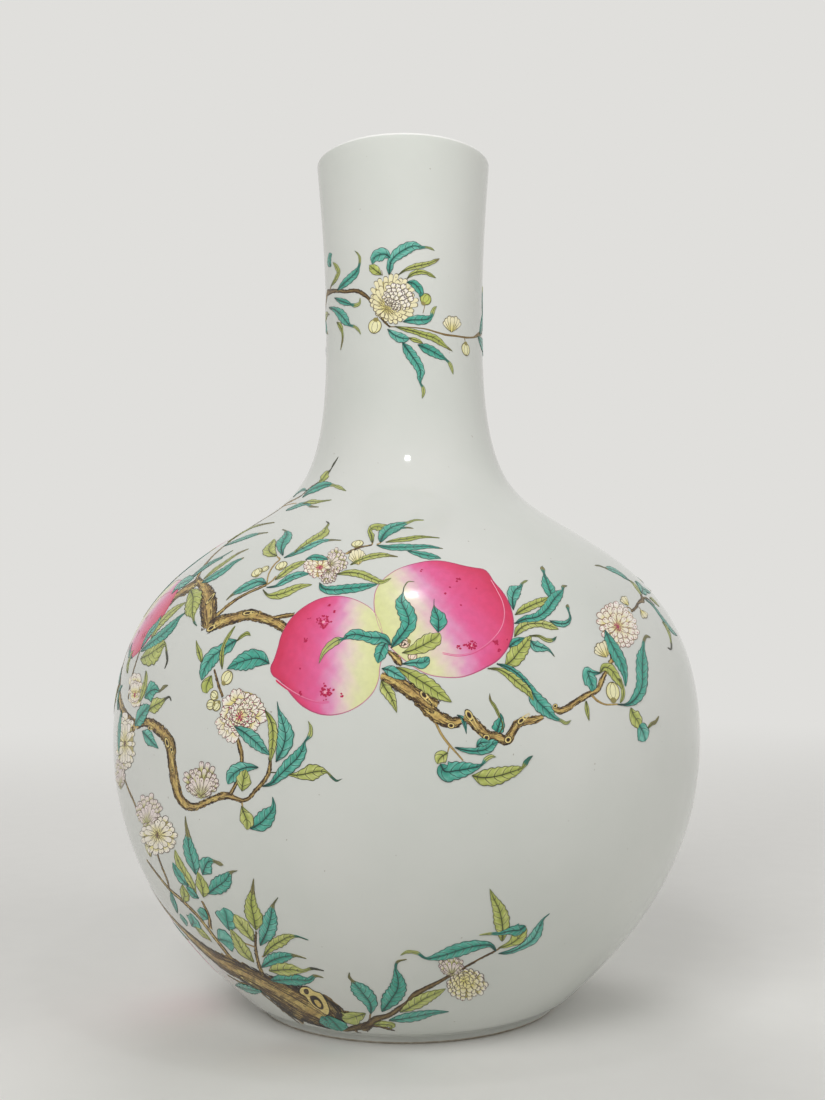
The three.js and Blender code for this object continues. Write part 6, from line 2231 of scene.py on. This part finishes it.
def paint_trunk():
    group = new_group()
    photograph = TracedGround(WHOLE_PHOTO, 0)
    seen = traced(TRUNK["crop"], TRUNK["line"])
    bough_stroke(group, np.vstack((placed(HIDDEN_TRUNK), seen)), TRUNK_SEED)
    for spec in TRUNK["knots"]:
        knot(group, photograph, spec)
    scar(group, photograph, TRUNK["scar"])
    for turn_share, height_share, *spec in HIDDEN_TRUNK_KNOTS:
        knot(group, LocalGround(turn_share, height_share), (0, 0, *spec))
    grow(group, TRUNK_BOUGHS, TRUNK_LEAVES, TRUNK_BLOSSOMS, TRUNK_BUDS, 0, TRUNK_BOUGH_SEED)
    finish_group("trunk", group, {"bark": ("trunk",)})


def paint_peach(name, enamel):
    enamel.piece("painted_" + name, PEACH_ENAMEL, "peach_enamel", (name,))


def paint_vase():
    for side, turned_by, nodes in (("front", 0, FRONT_NODES), ("back", HALF_TURN, BACK_NODES)):
        for place, (name, sprays) in enumerate(GROUPS.items()):
            group = new_group()
            for number, spray in enumerate(sprays):
                paint_spray(group, spray, turned_by, GROUP_SEEDS * place + SPRAY_SEEDS * number)
            finish_group(f"{side}_{name}", group, nodes.get(name, {}))
        group = new_group()
        grow(group, SIDE_BOUGHS, SIDE_LEAVES, SIDE_BLOSSOMS, SIDE_BUDS, turned_by, SIDE_SEED)
        grow(group, LINKS, LINK_LEAVES, (), (), turned_by, LINK_SEED)
        finish_group(f"{side}_side", group, {})
    paint_trunk()
    for number, spec in enumerate(FRONT_PEACHES):
        paint_peach(spec["name"], traced_peach(spec, 0, number))
        paint_peach(REPEATED_PEACHES[spec["name"]], traced_peach(spec, HALF_TURN, number))
    for seed, (name, (turn_share, *rest)) in enumerate(EDGE_PEACH_PLACES.items(), EDGE_PEACH_SEED):
        paint_peach(name, drawn_peach(turn_share, *rest, seed))
        if name in REPEATED_PEACHES:
            paint_peach(REPEATED_PEACHES[name], drawn_peach(turn_share + 0.5, *rest, seed))


# Floor, light and camera

FLOOR_RADIUS = 4.0
FLOOR_SIDES = 64
FLOOR_COLOUR = linear(230, 229, 226)
FLOOR_ROUGHNESS = 0.9
PAPER_NOISE = (40, 3)
PAPER_SHADE = 0.985
SKY_COLOUR = linear(224, 223, 220)
AMBIENT = 0.42
FLOOR_FADE = (0.35, 2.6)

# Lamps: place, size, watts, and whether the glaze mirrors it. Only the small one over the shoulder shows
LAMPS = (
    ("key", (-0.9, -2.2, 2.1), 1.4, 40, False),
    ("fill", (2.3, -1.3, 2.0), 1.6, 20, False),
    ("back", (-0.3, 2.5, 2.2), 1.6, 30, False),
    ("shoulder_spot", (0.017, -0.279, 0.68), 0.03, 0.16, True),
)
LAMP_TARGET = (0, 0, 0.25)


def lit_floor():
    points = [(FLOOR_RADIUS * math.cos(a), FLOOR_RADIUS * math.sin(a), 0) for a in circle(FLOOR_SIDES)]
    mesh = bpy.data.meshes.new("floor")
    mesh.from_pydata(points, [], [tuple(range(len(points)))])
    finish = Finish("floor_card")
    paper = finish.ranged(finish.noise(*PAPER_NOISE), *WIDE_SPAN, 0, 1)
    shaded = tuple(value * PAPER_SHADE for value in FLOOR_COLOUR)
    finish.drive("Base Color", finish.blend("MIX", paper, opaque(FLOOR_COLOUR), opaque(shaded)))
    finish.set("Roughness", FLOOR_ROUGHNESS)
    fade_into_sky(finish)
    mesh.materials.append(finish.material)
    floor = in_scene("floor", mesh)


def seen_directly(nodes, links):
    """1 where a camera ray or a reflection sees the material, and 0 where it only lights the vase."""
    path = nodes.new("ShaderNodeLightPath")
    either = nodes.new("ShaderNodeMath")
    either.operation = "MAXIMUM"
    links.new(path.outputs["Is Camera Ray"], either.inputs[0])
    links.new(path.outputs["Is Glossy Ray"], either.inputs[1])
    return either.outputs["Value"]


def sky_glow(node, strength):
    """Gives an emitting node the sky's colour."""
    node.inputs["Color"].default_value = opaque(SKY_COLOUR)
    node.inputs["Strength"].default_value = strength
    return node


def fade_into_sky(finish):
    """The floor passes into the pale background with distance, so that there is no horizon."""
    nodes, links = finish.nodes, finish.links
    distance = nodes.new("ShaderNodeVectorMath")
    distance.operation = "LENGTH"
    links.new(finish.place, distance.inputs[0])
    far = finish.ranged(distance.outputs["Value"], *FLOOR_FADE, 0, 1, smooth=True)
    share = nodes.new("ShaderNodeMath")
    share.operation = "MULTIPLY"
    links.new(far, share.inputs[0])
    links.new(seen_directly(nodes, links), share.inputs[1])
    sky = sky_glow(nodes.new("ShaderNodeEmission"), 1.0)
    mix = nodes.new("ShaderNodeMixShader")
    links.new(share.outputs["Value"], mix.inputs["Fac"])
    links.new(finish.shader.outputs["BSDF"], mix.inputs[1])
    links.new(sky.outputs["Emission"], mix.inputs[2])
    links.new(mix.outputs["Shader"], nodes["Material Output"].inputs["Surface"])


def lit_sky():
    world = bpy.data.worlds.new("pale_room")
    world.use_nodes = True
    bpy.context.scene.world = world
    nodes, links = world.node_tree.nodes, world.node_tree.links
    background = sky_glow(nodes["Background"], AMBIENT)
    seen = sky_glow(nodes.new("ShaderNodeBackground"), 1.0)
    mix = nodes.new("ShaderNodeMixShader")
    links.new(seen_directly(nodes, links), mix.inputs["Fac"])
    links.new(background.outputs["Background"], mix.inputs[1])
    links.new(seen.outputs["Background"], mix.inputs[2])
    links.new(mix.outputs["Shader"], nodes["World Output"].inputs["Surface"])


def lit_lamps():
    for name, place, size, power, mirrored in LAMPS:
        light = bpy.data.lights.new(name, "AREA")
        light.shape = "SQUARE"
        light.size = size
        light.energy = power
        lamp = in_scene(name, light)
        lamp.location = place
        aim = Vector(LAMP_TARGET) - Vector(place)
        lamp.rotation_euler = aim.to_track_quat("-Z", "Y").to_euler()
        lamp.visible_glossy = mirrored


def photo_camera():
    lens = bpy.data.cameras.new("photo_camera")
    lens.sensor_fit = "VERTICAL"
    lens.sensor_height = SENSOR_MM
    lens.lens = FOCAL_PX / PHOTO_SIZE[1] * SENSOR_MM
    camera = in_scene("photo_camera", lens)
    placing = np.column_stack((RIGHT, UP, -FORWARD, CAMERA * MM))
    camera.matrix_world = Matrix([*placing.tolist(), (0, 0, 0, 1)])
    bpy.context.scene.camera = camera


build_body()
paint_vase()
lit_floor()
lit_sky()
lit_lamps()
photo_camera()
bpy.context.scene.view_settings.view_transform = "Standard"
